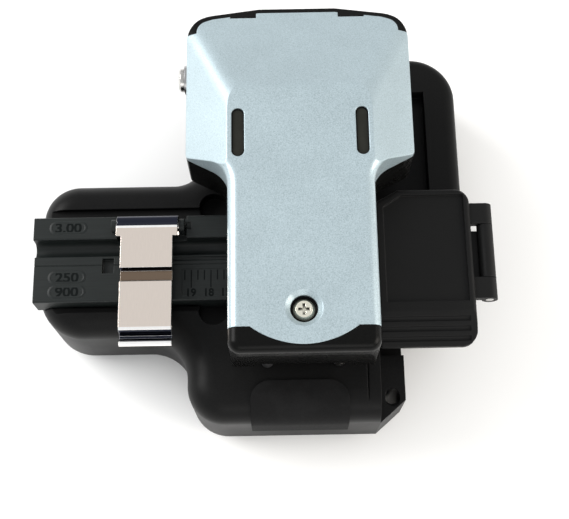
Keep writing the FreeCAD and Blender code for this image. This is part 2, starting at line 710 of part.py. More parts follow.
def make_arm():
    form = arm_envelope()
    zone = cover_zone()
    # painted cover: hollow below, pierced by two slots and the dished screw hole
    lowered = doc.addObject("Part::Compound", "arm_form_lowered")
    lowered.Links = [form]
    place(lowered, z="-cover_wall - ridge_wall")
    core = common("cover_core", lowered, arm_outline("cover_core_plan", "arm_split - 1", "arm_top",
                                                     "cover_wall",
                                                     "head_corner - cover_wall", "neck_blend"))
    hollow = common("cover_hollow", core, block("cover_hollow_band", WIDE,
                                                ("screw_y + screw_dish_radius + 1", "corner_border_front"),
                                                ("arm_split - 1", "arm_top")))
    slots = [pill(f"cover_slot_{side}", f"arm_x {sign} slot_offset", "slot_front", "slot_length",
                  "slot_width",
                  "arm_split - 1", "arm_top + 1") for side, sign in (("left", "-"), ("right", "+"))]
    dish = cone("screw_dish", "arm_top - screw_dish_depth", f"arm_top + {TINY}", "screw_recess_radius",
                "screw_dish_radius", "arm_x", "screw_y")
    recess = rod("screw_recess", "z", "arm_top - screw_dish_depth - screw_recess_depth", "arm_top",
                 "screw_recess_radius", "arm_x", "screw_y")
    shank = rod("cover_shank_hole", "z", "arm_split - 1", "arm_top", "cover_screw_radius", "arm_x", "screw_y")
    cover = cut("arm_cover", common("cover_form", form, zone), hollow, dish, recess, shank, *slots)
    keep("arm_cover", cover)
    inserts = [pill(f"slot_insert_{side}", f"arm_x {sign} slot_offset", "slot_front + insert_gap",
                    "slot_length - 2 * insert_gap", "slot_width - 2 * insert_gap", "arm_split",
                    "arm_top - insert_below")
               for side, sign in (("left", "-"), ("right", "+"))]
    group("slot_inserts", *inserts)
    screw_seat = "arm_top - screw_dish_depth - screw_recess_depth"
    keep("arm_screw", pan_screw("arm_screw", "arm_x", "screw_y", screw_seat,
                                f"{screw_seat} - arm_split + roof_wall",
                                "screw_head_radius", "cover_screw_head", "cover_screw_radius"))

    # moulded frame: an upside-down tray with a roof, side walls and the rear border
    inside = common("frame_inside", arm_outline("frame_inside_plan", "arm_under - 1", "arm_split - roof_wall",
                                                "arm_wall", "head_corner - arm_wall", "neck_blend"),
                    block("frame_inside_band", WIDE, ("nose_edge + arm_wall", "arm_rear"),
                          ("arm_under - 1", "arm_split")))
    rear_gate = block("rear_gate", ("arm_x - head_half + arm_wall", "arm_x + head_half - arm_wall"),
                      ("hinge_y + ear_radius - gate_lap", "arm_rear + 1"),
                      ("arm_under - 1", "hinge_z + gate_rise"))
    nose_block = block("nose_block", WIDE, ("arm_front - 1", "nose_edge"), ("arm_under - 1", "arm_top + 1"))
    frame_shank = rod("frame_shank_hole", "z", "arm_split - roof_wall - 1", "arm_split + 1",
                      "cover_screw_radius", "arm_x", "screw_y")
    screw_holes = [rod(f"roof_hole{index}", "z", "arm_split - roof_wall - 1", "arm_split + 1",
                       "roof_screw_radius",
                       x, y) for index, (x, y) in enumerate(CARRIER_SCREWS + LEVER_SCREWS)]
    frame = cut("arm_frame", form, joined("cover_space_whole", zone, nose_block), inside, rear_gate,
                frame_shank,
                shaft_bore("frame_bore", *WIDE), *screw_holes)
    keep("arm_frame", frame)

    # nose cap: closes the front of cover and frame behind a running gap
    nose = common("nose_form", form, block("nose_front", WIDE, ("arm_front - 1", "nose_edge - nose_gap"),
                                           ("arm_under - 1", "arm_top + 1")))
    nose_pocket = block("nose_pocket", ("arm_x - neck_half + nose_wall", "arm_x + neck_half - nose_wall"),
                        ("arm_front + 2 * nose_wall", "nose_edge"),
                        ("arm_under + 2 * nose_wall", "arm_split - 1"))
    tongue_seat = rod("tongue_seat", "z", "arm_split - nose_gap", "arm_top + 1",
                      f"{TONGUE_RADIUS} + nose_gap",
                      "arm_x", TONGUE_Y)
    nose_screw_seat = rod("nose_plate_seat", "z", "arm_under - 1", "arm_under + catch_plate_height",
                          "stop_radius", "arm_x + stop_offset", "stop_y")
    keep("nose_cap", cut("nose_cap", nose, nose_pocket, tongue_seat, nose_screw_seat))
    keep("catch_plate", rod("catch_plate", "z", "arm_under", "arm_under + catch_plate_height", "stop_radius",
                            "arm_x + stop_offset", "stop_y"))

    # clamp carrier with its two pads and the anvil that bends the scored fibre
    reach = ("fibre_y - pad_length / 2", "fibre_y + pad_length / 2")
    carrier_low = "fibre_z + pad_height + carrier_gap"
    base_block = block("carrier_block", ("arm_x - pad_offset - pad_width / 2 - carrier_border",
                                         "arm_x + pad_offset + pad_width / 2 + carrier_border"), reach,
                       (carrier_low, "arm_split - roof_wall"))
    relief = block("carrier_relief", ("arm_x - relief_half", "arm_x + relief_half"),
                   ("fibre_y - pad_length", "fibre_y + pad_length"),
                   (f"{carrier_low} - 1", f"{carrier_low} + relief_height"))
    holes = [rod(f"carrier_hole{index}", "z", "arm_split - carrier_screw_length", "arm_split",
                 "roof_screw_radius",
                 x, y) for index, (x, y) in enumerate(CARRIER_SCREWS)]
    keep("clamp_carrier", cut("clamp_carrier", base_block, relief, *holes))
    group("carrier_screws", *[pan_screw(f"carrier_screw{index}", x, y, "arm_split", "carrier_screw_length",
                                        "roof_screw_head_radius", "roof_screw_head", "roof_screw_radius")
                              for index, (x, y) in enumerate(CARRIER_SCREWS)])
    pads = []
    for side, sign in (("left", "-"), ("right", "+")):
        centre = f"arm_x {sign} pad_offset"
        pads.append(block(f"upper_pad_{side}", (f"{centre} - pad_width / 2", f"{centre} + pad_width / 2"),
                          (f"{reach[0]} + pad_inset", f"{reach[1]} - pad_inset"),
                          ("fibre_z - fibre_drop + pad_gap", carrier_low)))
    group("upper_clamp_pads", *pads)
    anvil = padded("anvil_bar", "XZ_Plane", [
        ("arm_x - anvil_tip_half", "fibre_z + anvil_gap"), ("arm_x + anvil_tip_half", "fibre_z + anvil_gap"),
        ("arm_x + anvil_half", "fibre_z + anvil_shoulder"),
        ("arm_x + anvil_half", f"{carrier_low} + relief_height"),
        ("arm_x - anvil_half", f"{carrier_low} + relief_height"),
        ("arm_x - anvil_half", "fibre_z + anvil_shoulder")],
        "-fibre_y - anvil_half_length", "-fibre_y + anvil_half_length")
    keep("anvil", anvil)

    # drive lever: hangs from the roof, turns with the arm and carries the pin that drives the blade
    pin_y = "hinge_y + drive_forward"
    pin_z = "hinge_z - drive_drop"
    plate = padded("lever_plate", "YZ_Plane", [
        ("hinge_y - lever_half", "arm_split - roof_wall"), ("hinge_y - lever_half", "hinge_z - 2"),
        (f"{pin_y} - lever_eye", f"{pin_z} + 1"), (f"{pin_y} - lever_eye", f"{pin_z} - 0.4"),
        (f"{pin_y} - 0.6", f"{pin_z} - lever_eye"), (f"{pin_y} + 0.8", f"{pin_z} - lever_eye"),
        (f"{pin_y} + lever_eye", pin_z), ("hinge_y + lever_half + 0.4", "hinge_z - 1.5"),
        ("hinge_y + lever_half", "arm_split - roof_wall")], "lever_left", "lever_left + lever_width")
    foot = block("lever_foot", ("arm_x - lever_foot_half", "arm_x + lever_foot_half"),
                 ("hinge_y - lever_half", "hinge_y + lever_half"),
                 ("arm_split - roof_wall - lever_foot_height", "arm_split - roof_wall"))
    holes = [rod(f"lever_hole{index}", "z", "hinge_z", "arm_split", "roof_screw_radius", x, y)
             for index, (x, y) in enumerate(LEVER_SCREWS)]
    group("lever_screws", *[pan_screw(f"lever_screw{index}", x, y, "arm_split",
                                      "roof_wall + lever_foot_height",
                                      "roof_screw_head_radius", "roof_screw_head", "roof_screw_radius")
                            for index, (x, y) in enumerate(LEVER_SCREWS)])
    through = ("lever_left - 1", "lever_left + lever_width + 1")
    lever = cut("drive_lever", joined("lever_whole", plate, foot), *holes, shaft_bore("lever_bore", *through),
                rod("lever_pin_hole", "x", *through, "drive_pin_radius", pin_y, pin_z))
    keep("drive_lever", lever)
    keep("drive_pin", rod("drive_pin", "x", "lever_left", "tongue_left + tongue_width", "drive_pin_radius",
                          pin_y, pin_z))


# Base
FEET = [("wing_left + foot_inset", "(wing_front + wing_rear) / 2"),
        ("bay_wall - foot_inset", "handle_front + foot_inset"),
        ("rear_left + foot_inset", "rear_end - foot_inset"),
        ("rear_right - foot_inset", "rear_end - foot_inset")]
BASE_SCREWS = [("wing_left + wing_boss", "wing_front + boss_inset + base_wall"),
               ("rear_left + boss_inset", "centre_rear + boss_inset / 2"),
               ("rear_right - boss_inset", "lobe_front + boss_inset"),
               ("handle_left + boss_inset", "handle_front + boss_inset")]
FORK_REAR = "hinge_y + drive_forward + drive_pin_radius + fork_gap + fork_wall"
PASSAGE = ("lever_left - passage_left_gap", "tongue_left + tongue_width + passage_right_gap")
ADAPTER_RIGHT = "arm_x - pad_offset - pad_width / 2 - adapter_gap"
ADAPTER_REAR = "adapter_front + adapter_width"
ADAPTER_TOP = "adapter_floor + adapter_height"
ADAPTER_MIDDLE = "adapter_front + adapter_width / 2"
MAGNETS = ["wing_left + magnet_inset", f"{ADAPTER_RIGHT} - magnet_inset"]
EARS = {"left": ("arm_x - head_half + arm_wall + ear_gap",
                 "arm_x - head_half + arm_wall + ear_gap + ear_width"),
        "right": ("arm_x + head_half - arm_wall - ear_gap - ear_width",
                  "arm_x + head_half - arm_wall - ear_gap")}


def front_body():
    """Wing, handle and middle of the housing with their round shoulder."""
    body = padded("housing_front", "XY_Plane", [
        ("wing_left", "wing_front"), ("handle_left", "wing_front"), ("handle_left", "handle_front"),
        ("bay_wall", "handle_front"), ("bay_wall", "centre_rear"), ("rear_left", "centre_rear"),
        ("rear_left", "wing_rear"), ("wing_left", "wing_rear")], "floor_z", "rim_z")
    fillet(body, "wing_corner", upright_at(("wing_left", "wing_front")))
    fillet(body, "waist_corner", upright_at(("handle_left", "wing_front")))
    fillet(body, "end_corner", upright_at(("wing_left", "wing_rear"), ("handle_left", "handle_front")))
    fillet(body, "rear_waist_corner", upright_at(("rear_left", "wing_rear")))
    top, wall, rear = number("rim_z"), number("bay_wall"), number("centre_rear")

    def shoulder_edge(edge):
        box = edge.BoundBox
        return level(edge, top) and box.XMin < wall - TINY and box.YMin < rear - TINY
    fillet(body, "shoulder", shoulder_edge)
    return body


def rear_body():
    """Low deck behind the blade and the raised rim round the right lobe."""
    body = padded("housing_rear", "XY_Plane", [
        ("rear_left", "lobe_front"), ("rear_right", "lobe_front"), ("rear_right", "rear_end"),
        ("rear_left", "rear_end")], "floor_z", "lobe_top")
    fillet(body, "lobe_corner", upright_at(("rear_right", "rear_end")))
    fillet(body, "rear_corner", upright_at(("rear_left", "rear_end")))
    top, front, left = number("lobe_top"), number("lobe_front"), number("rear_left")

    def outer(edge):
        box = edge.BoundBox
        return level(edge, top) and box.YMax > front + TINY and box.XMax > left + TINY
    fillet(body, "lobe_edge", outer)
    floor = block("lobe_floor_cut", ("rear_left - 1", "lobe_rim_left"), ("lobe_front - 1", "lobe_rim_front"),
                  ("deck_z", "lobe_top + 1"))
    sweep = block("head_sweep_cut", ("rear_left - 1", "arm_x + head_half + head_clear"),
                  ("lobe_rim_front - 1", "rear_end + 1"), ("deck_z", "lobe_top + 1"))
    return cut("housing_rear_cut", body, floor, sweep)


def strip_body():
    """Lower step at the right of the handle, bevelled at its front corner, with the lanyard hole."""
    body = padded("housing_strip", "XY_Plane", [
        ("bay_wall - 1", "handle_front"), ("strip_right - strip_chamfer_x", "handle_front"),
        ("strip_right", "handle_front + strip_chamfer_y"), ("strip_right", "strip_rear"),
        ("bay_wall - 1", "strip_rear")], "floor_z", "strip_top")
    hole = rod("lanyard_hole", "z", "0", "strip_top + 1", "lanyard_radius", "lanyard_x", "lanyard_y")
    mouth = pill("lanyard_mouth", "lanyard_x", "lanyard_y + lanyard_radius - lanyard_mouth", "lanyard_mouth",
                 "2 * lanyard_radius", "strip_top - lanyard_mouth_depth", "strip_top + 1")
    step = block("housing_step", ("bay_wall - 1", "strip_right"), ("strip_rear - 0.1", "bin_front"),
                 ("floor_z", "step_top"))
    return joined("housing_strip_whole", cut("housing_strip_cut", body, hole, mouth), step)


def ear(side):
    start, end = EARS[side]
    foot = block(f"ear_{side}_foot", (start, end), ("hinge_y - ear_radius", "hinge_y + ear_radius"),
                 ("deck_z - 1", "hinge_z"))
    return joined(f"ear_{side}", foot, rod(f"ear_{side}_top", "x", start, end, "ear_radius", "hinge_y",
                                           "hinge_z"))


def base_tools():
    """Everything that is hollowed out of the housing."""
    tools = []
    tools.append(block("trough", ("arm_x - trough_half", "arm_x + trough_half"),
                       ("bed_front + trough_front_wall", "centre_rear - trough_rear_wall"),
                       ("trough_floor", "rim_z + 1")))
    tools.append(block("bed_recess", ("bed_left", "bed_right"), ("bed_front", "bed_rear"),
                       ("bed_under", "rim_z + 1")))
    tools.append(block("tongue_passage", PASSAGE,
                       ("centre_rear - trough_rear_wall - 1", f"{FORK_REAR} + fork_clear"),
                       ("trough_floor", "rim_z + 1")))
    seat_x = ("wing_left - 1", f"{ADAPTER_RIGHT} + 1")
    tools.append(block("seat", seat_x, ("adapter_front - seat_clear", f"{ADAPTER_REAR} + seat_clear"),
                       ("adapter_floor", "rim_z + 1")))
    tools.append(block("channel", seat_x, ("adapter_front - channel_front", f"{ADAPTER_REAR} + channel_rear"),
                       ("adapter_floor + seat_depth", "rim_z + 1")))
    for side, y in (("front", "adapter_front - channel_front"), ("rear", f"{ADAPTER_REAR} + channel_rear")):
        tools.append(rod(f"finger_notch_{side}", "z", "adapter_floor", "rim_z + 1", "notch_radius", "notch_x",
                         y))
    for index, x in enumerate(MAGNETS):
        tools.append(rod(f"magnet_hole{index}", "z", "adapter_floor - magnet_height", "adapter_floor + 0.1",
                         "magnet_radius", x, ADAPTER_MIDDLE))
    for side, (start, end) in EARS.items():
        tools.append(rod(f"bush_hole_{side}", "x", f"{start} - 0.1", f"{end} + 0.1",
                         "shaft_radius + bush_wall",
                         "hinge_y", "hinge_z"))
    for index, (x, y) in enumerate(BASE_SCREWS):
        tools.append(rod(f"base_screw_hole{index}", "z", "floor_z - 0.1",
                         "cover_under + base_screw_sink + base_screw_length", "base_screw_radius", x, y))
    for index, (x, y) in enumerate(BED_SCREWS):
        tools.append(rod(f"bed_screw_hole{index}", "z", f"{BED_SCREW_SEAT} - bed_screw_length",
                         "bed_under + 0.1",
                         "bed_screw_radius", x, y))
    for index, y in enumerate(BIN_SCREWS):
        tools.append(rod(f"bin_screw_hole{index}", "x", "bay_wall - bin_screw_reach", "bay_wall + 0.1",
                         "bin_screw_radius", y, "bin_screw_z"))
    for side, x in (("stop", "arm_x - stop_offset"), ("catch", "arm_x + stop_offset")):
        tools.append(rod(f"{side}_hole", "z", "rim_z - stop_sink", "rim_z + 1", "stop_radius", x, "stop_y"))
    tools.append(block("split_groove", ("bay_wall - split_inset", "bay_wall - split_inset + split_width"),
                       ("handle_front - 1", "stop_y + 1"), ("rim_z - split_depth", "rim_z + 1")))
    return tools


def pocket(name, x, y, high, corner):
    """A hollow moulded up from the underside, with bosses left standing round the screws."""
    corners = [(x[0], y[0]), (x[1], y[0]), (x[1], y[1]), (x[0], y[1])]
    space = padded(name + "_space", "XY_Plane", corners, "floor_z - 0.1", high)
    fillet(space, corner, upright_at(*corners))
    bosses = [rod(f"{name}_boss{index}", "z", "floor_z - 1", "rim_z", "base_screw_radius + base_wall", sx, sy)
              for index, (sx, sy) in enumerate(BASE_SCREWS)]
    return cut(name, space, *bosses)


def pockets():
    """Hollows of the wing, the handle and the rear deck, parted by the walls of the trough."""
    trough_left = "arm_x - trough_half - base_wall"
    rear = ("centre_rear", "rear_end - base_wall")
    wing = pocket("wing_pocket", ("wing_left + base_wall", trough_left),
                  ("wing_front + base_wall", "wing_rear - base_wall"), "shoulder_start - 1",
                  "rear_waist_corner")
    handle = pocket("handle_pocket", ("handle_left + base_wall", "bay_wall - base_wall"),
                    ("handle_front + base_wall", "bed_front - base_wall"), "shoulder_start - 1",
                    "pocket_corner")
    left = pocket("left_pocket", ("rear_left + base_wall", f"{PASSAGE[0]} - base_wall"), rear,
                  "deck_z - base_wall", "pocket_corner")
    right = pocket("right_pocket", (f"{PASSAGE[1]} + base_wall", "rear_right - base_wall"), rear,
                   "deck_z - base_wall", "pocket_corner")
    lobe = pocket("lobe_pocket", ("bay_wall + base_wall", "rear_right - base_wall"),
                  ("lobe_front + base_wall", "centre_rear - lobe_pocket_wall"), "deck_z - base_wall",
                  "lobe_pocket_corner")
    rib = block("wing_rib", ("wing_left", "arm_x"),
                (f"{ADAPTER_MIDDLE} - rib_half", f"{ADAPTER_MIDDLE} + rib_half"),
                ("shoulder_start - rib_height", "shoulder_start"))
    return [cut("wing_hollow", wing, rib), handle, left, right, lobe]


BED_SCREWS = [(x, y) for y in ("bed_front + bed_screw_inset", "bed_rear - bed_screw_inset")
              for x in ("bed_left + bed_screw_inset", "bed_right - bed_screw_inset")]
BED_SCREW_SEAT = "bed_under + bed_height - bed_screw_sink"
BIN_SCREWS = ["bin_front + bin_screw_inset", "bin_rear - bin_screw_inset"]


def make_base():
    floor = block("bay_floor", ("bay_wall - 1", "bay_floor_right"),
                  ("bin_front + bay_inset", "lobe_front + 0.1"),
                  ("floor_z", "trough_floor"))
    whole = joined("housing_whole", front_body(), rear_body(), strip_body(), floor, ear("left"), ear("right"))
    keep("base_housing", cut("base_housing", whole, *base_tools(), *pockets()))

    left, handle, rear = "wing_left + cover_inset", "handle_left + cover_inset", "rear_left + cover_inset"
    right, bay = "rear_right - cover_inset", "bay_floor_right - cover_inset"
    strip = "strip_right - cover_inset / 2"
    near, low_end = "wing_front + cover_inset", "handle_front + cover_inset"
    far, wing_end = "rear_end - cover_inset", "wing_rear - cover_inset"
    bay_end = "bin_front + bay_inset + cover_bay_gap"
    cover = padded("cover_plate", "XY_Plane", [
        (left, near), (handle, near), (handle, low_end), (f"{strip} - strip_chamfer_x", low_end),
        (strip, "handle_front + strip_chamfer_y"), (strip, bay_end), (bay, bay_end), (bay, "lobe_front"),
        (right, "lobe_front"), (right, far), (rear, far), (rear, wing_end), (left, wing_end)],
        "cover_under", "floor_z")
    fillet(cover, "lobe_corner - cover_inset", upright_at((left, near), (right, far)))
    fillet(cover, "end_corner - cover_inset", upright_at((left, wing_end), (handle, low_end), (rear, far)))
    holes = [rod(f"foot_hole{index}", "z", "cover_under - 0.1", "foot_height", "foot_radius", x, y)
             for index, (x, y) in enumerate(FEET)]
    for index, (x, y) in enumerate(BASE_SCREWS):
        holes.append(rod(f"cover_hole{index}", "z", "cover_under - 0.1", "floor_z + 0.1", "base_screw_radius",
                         x, y))
        holes.append(rod(f"cover_sink{index}", "z", "cover_under - 0.1", "cover_under + base_screw_sink",
                         "base_screw_head_radius + screw_head_gap", x, y))
    holes.append(rod("cover_lanyard_hole", "z", "0", "floor_z + 1", "lanyard_radius", "lanyard_x",
                     "lanyard_y"))
    keep("bottom_cover", cut("bottom_cover", cover, *holes))
    group("rubber_feet", *[turned(f"foot{index}", (x, y, "0"), [
        ("0", "0"), ("foot_radius - foot_chamfer", "0"), ("foot_radius", "foot_chamfer"),
        ("foot_radius", "foot_height"), ("0", "foot_height")]) for index, (x, y) in enumerate(FEET)])
    group("base_screws", *[pan_screw(f"base_screw{index}", x, y, "cover_under + base_screw_sink",
                                     "base_screw_length", "base_screw_head_radius", "base_screw_head",
                                     "base_screw_radius", down=True)
                           for index, (x, y) in enumerate(BASE_SCREWS)])

    bed = block("bed_blank", ("bed_left", "bed_right"), ("bed_front", "bed_rear"),
                ("bed_under", "bed_under + bed_height"))
    bed_cuts = [block("bed_slot", ("arm_x - bed_slot_half", "arm_x + bed_slot_half"),
                      ("bed_front + bed_border", "bed_rear - bed_border"),
                      ("bed_under - 1", "bed_under + bed_height + 1"))]
    for index, (x, y) in enumerate(BED_SCREWS):
        bed_cuts.append(rod(f"bed_hole{index}", "z", "bed_under - 0.1", "bed_under + bed_height",
                            "bed_screw_radius",
                            x, y))
        bed_cuts.append(rod(f"bed_sink{index}", "z", BED_SCREW_SEAT, "bed_under + bed_height + 0.1",
                            "bed_screw_head_radius + screw_head_gap", x, y))
    keep("bed_plate", cut("bed_plate", bed, *bed_cuts))
    group("bed_screws", *[pan_screw(f"bed_screw{index}", x, y, BED_SCREW_SEAT, "bed_screw_length",
                                    "bed_screw_head_radius", "bed_screw_head", "bed_screw_radius")
                          for index, (x, y) in enumerate(BED_SCREWS)])
    reach = ("fibre_y - pad_length / 2", "fibre_y + pad_length / 2")
    posts, pads = [], []
    for side, sign in (("left", "-"), ("right", "+")):
        centre = f"arm_x {sign} pad_offset"
        posts.append(block(f"clamp_post_{side}", (f"{centre} - pad_width / 2", f"{centre} + pad_width / 2"),
                           reach,
                           ("bed_under + bed_height", "fibre_z - fibre_drop - pad_height")))
        pads.append(block(f"lower_pad_{side}", (f"{centre} - pad_width / 2 + pad_side_inset",
                                                f"{centre} + pad_width / 2 - pad_side_inset"),
                          (f"{reach[0]} + pad_inset", f"{reach[1]} - pad_inset"),
                          ("fibre_z - fibre_drop - pad_height", "fibre_z - fibre_drop")))
    group("clamp_posts", *posts)
    group("lower_clamp_pads", *pads)
    keep("guide_rail", block("guide_rail", ("arm_x - rail_width / 2", "arm_x + rail_width / 2"),
                             ("bed_front + trough_front_wall + rail_end_gap",
                              "centre_rear - trough_rear_wall - rail_end_gap"),
                             ("trough_floor", "trough_floor + rail_height")))

    left_end = "arm_x - head_half - shaft_out"
    groove = ("shaft_out - e_clip_gap - e_clip_width", "shaft_out - e_clip_gap")
    groove_start, groove_end = f"{left_end} + {groove[0]}", f"{left_end} + {groove[1]}"
    length = "2 * head_half + shaft_out - e_clip_gap"
    keep("hinge_shaft", turned("hinge_shaft", (left_end, "hinge_y", "hinge_z"), [
        ("0", "0"), ("shaft_radius - shaft_chamfer", "0"), ("shaft_radius", "shaft_chamfer"),
        ("shaft_radius", groove[0]), ("shaft_radius - e_clip_bite", groove[0]),
        ("shaft_radius - e_clip_bite", groove[1]), ("shaft_radius", groove[1]), ("shaft_radius", length),
        ("0", length)], "x"))
    clip_ring = rod("clip_ring", "x", groove_start, groove_end, "shaft_radius + e_clip_ring", "hinge_y",
                    "hinge_z")
    clip_bore = rod("clip_bore", "x", f"{groove_start} - 1", f"{groove_end} + 1",
                    "shaft_radius - e_clip_bite",
                    "hinge_y", "hinge_z")
    clip_mouth = block("clip_mouth", (f"{groove_start} - 1", f"{groove_end} + 1"),
                       ("hinge_y - e_clip_mouth", "hinge_y + e_clip_mouth"),
                       ("hinge_z - 2 * shaft_radius", "hinge_z"))
    keep("hinge_clip", cut("hinge_clip", clip_ring, clip_bore, clip_mouth))
    bushes = []
    for side, (start, end) in EARS.items():
        tube = rod(f"bush_{side}_outer", "x", start, end, "shaft_radius + bush_wall", "hinge_y", "hinge_z")
        bushes.append(cut(f"bush_{side}", tube, rod(f"bush_{side}_bore", "x", f"{start} - 1", f"{end} + 1",
                                                   "shaft_radius", "hinge_y", "hinge_z")))
    group("hinge_bushes", *bushes)

    slab = padded("thumb_slab", "YZ_Plane", [
        ("handle_front - thumb_thick", "thumb_under"), ("handle_front - thumb_thick", "rim_z + thumb_thick"),
        ("thumb_rear", "rim_z + thumb_thick"), ("thumb_rear", "thumb_under")], "thumb_left", "thumb_right")
    fillet(slab, "shoulder + thumb_thick", ends_at(X, ("handle_front - thumb_thick", "rim_z + thumb_thick")))
    prism = padded("thumb_prism", "XY_Plane", [
        ("thumb_left", "handle_front - 2"), ("thumb_right", "handle_front - 2"),
        ("thumb_right", "thumb_rear"),
        ("thumb_left", "thumb_rear")], "0", "rim_z + 2")
    fillet(prism, "thumb_corner", upright_at(("thumb_left", "thumb_rear"), ("thumb_right", "thumb_rear")))
    keep("thumb_pad", cut("thumb_pad", common("thumb_shape", slab, prism), doc.getObject("housing_front")))
    tall = "arm_under - stop_gap - rim_z + stop_sink"
    keep("closing_stop", turned("closing_stop", ("arm_x - stop_offset", "stop_y", "rim_z - stop_sink"), [
        ("0", "0"), ("stop_radius", "0"), ("stop_radius", f"{tall} - stop_chamfer"),
        ("stop_radius - stop_chamfer", tall),
        ("0", tall)]))
    keep("catch_post", rod("catch_post", "z", "rim_z - stop_sink", "rim_z + catch_post_height", "stop_radius",
                           "arm_x + stop_offset", "stop_y"))
    keep("catch_magnet", rod("catch_magnet", "z", "rim_z + catch_post_height", "arm_under - stop_gap",
                             "stop_radius",
                             "arm_x + stop_offset", "stop_y"))


def make_adapter():
    """Fibre adapter: a profiled bar with a raised rear rail, a cable groove against it, two fine grooves
    and the clamp's lugs in a gap of the rail."""
    rail_front = f"{ADAPTER_REAR} - rear_rail_width"
    rail_top = f"{ADAPTER_TOP} + rear_rail_height"
    bar = padded("adapter_bar", "YZ_Plane", [
        ("adapter_front", "adapter_floor"), (ADAPTER_REAR, "adapter_floor"), (ADAPTER_REAR, rail_top),
        (rail_front, rail_top), (rail_front, ADAPTER_TOP), ("adapter_front", ADAPTER_TOP)],
        "wing_left", ADAPTER_RIGHT)
    fillet(bar, "adapter_edge", ends_at(X, (ADAPTER_REAR, rail_top), (rail_front, rail_top),
                                        ("adapter_front", ADAPTER_TOP)))
    ear_left, ear_right = "lid_left - lid_ear - lug_gap", "lid_left + lid_width + lid_ear + lug_gap"
    over = (f"{rail_front} - 1", f"{ADAPTER_REAR} + 1")
    clamp_gap = block("clamp_gap", (ear_left, f"{ear_right} + lug_width + rear_rail_gap"), over,
                      (ADAPTER_TOP, f"{rail_top} + 1"))
    arm_gap = block("arm_gap", ("arm_x - neck_half - rear_rail_gap", f"{ADAPTER_RIGHT} + 1"), over,
                    (ADAPTER_TOP, f"{rail_top} + 1"))
    cable = rod("cable_groove", "x", "wing_left - 1", f"{ADAPTER_RIGHT} + 1", "cable_groove_radius",
                "cable_groove",
                ADAPTER_TOP)
    buffered = rod("buffer_groove", "x", "lid_left", f"{ADAPTER_RIGHT} + 1", "buffer_groove_width / 2",
                   "buffer_groove", ADAPTER_TOP)
    coated = rod("coat_groove", "x", "wing_left - 1", f"{ADAPTER_RIGHT} + 1", "coat_groove_width / 2",
                 "coat_groove", ADAPTER_TOP)
    gauge = block("gauge_pocket", ("lid_left - gauge_left", "lid_left - gauge_left + gauge_length"),
                  ("gauge_front", "gauge_front + gauge_width"),
                  (f"{ADAPTER_TOP} - gauge_depth", f"{ADAPTER_TOP} + 1"))
    step = block("end_step", (f"{ADAPTER_RIGHT} - end_step_length", f"{ADAPTER_RIGHT} + 1"),
                 ("adapter_front - 1", "adapter_front + end_step_width"),
                 (f"{ADAPTER_TOP} - end_step_depth", f"{ADAPTER_TOP} + 1"))
    body = cut("adapter_grooved", bar, clamp_gap, arm_gap, cable, buffered, coated, gauge, step)
    lugs = []
    for side, start in (("left", f"{ear_left} - lug_width"), ("right", ear_right)):
        span = (start, f"{start} + lug_width")
        lugs.append(block(f"lug_{side}_foot", span, ("lid_axis_y - lug_radius", "lid_axis_y + lug_radius"),
                          (f"{ADAPTER_TOP} - lug_sink", "lid_axis_z")))
        lugs.append(rod(f"lug_{side}_head", "x", *span, "lug_radius", "lid_axis_y", "lid_axis_z"))
    pin = (f"{ear_left} - lug_width", f"{ear_right} + lug_width + lid_pin_out")
    bore = rod("lug_bore", "x", pin[0], f"{pin[1]} + 1", "lid_pin_radius", "lid_axis_y", "lid_axis_z")
    keep("fibre_adapter", cut("fibre_adapter", joined("adapter_with_lugs", body, *lugs), bore))
    group("adapter_magnets", *[rod(f"adapter_magnet{index}", "z", "adapter_floor - magnet_height",
                                   "adapter_floor",
                                   "magnet_radius", x, ADAPTER_MIDDLE) for index, x in enumerate(MAGNETS)])
    length = f"{pin[1]} - ({pin[0]})"
    keep("clamp_pin", turned("clamp_pin", (pin[0], "lid_axis_y", "lid_axis_z"), [
        ("0", "0"), ("lid_pin_radius", "0"), ("lid_pin_radius", f"{length} - lid_pin_chamfer"),
        ("lid_pin_radius - lid_pin_chamfer", length), ("0", length)], "x"))


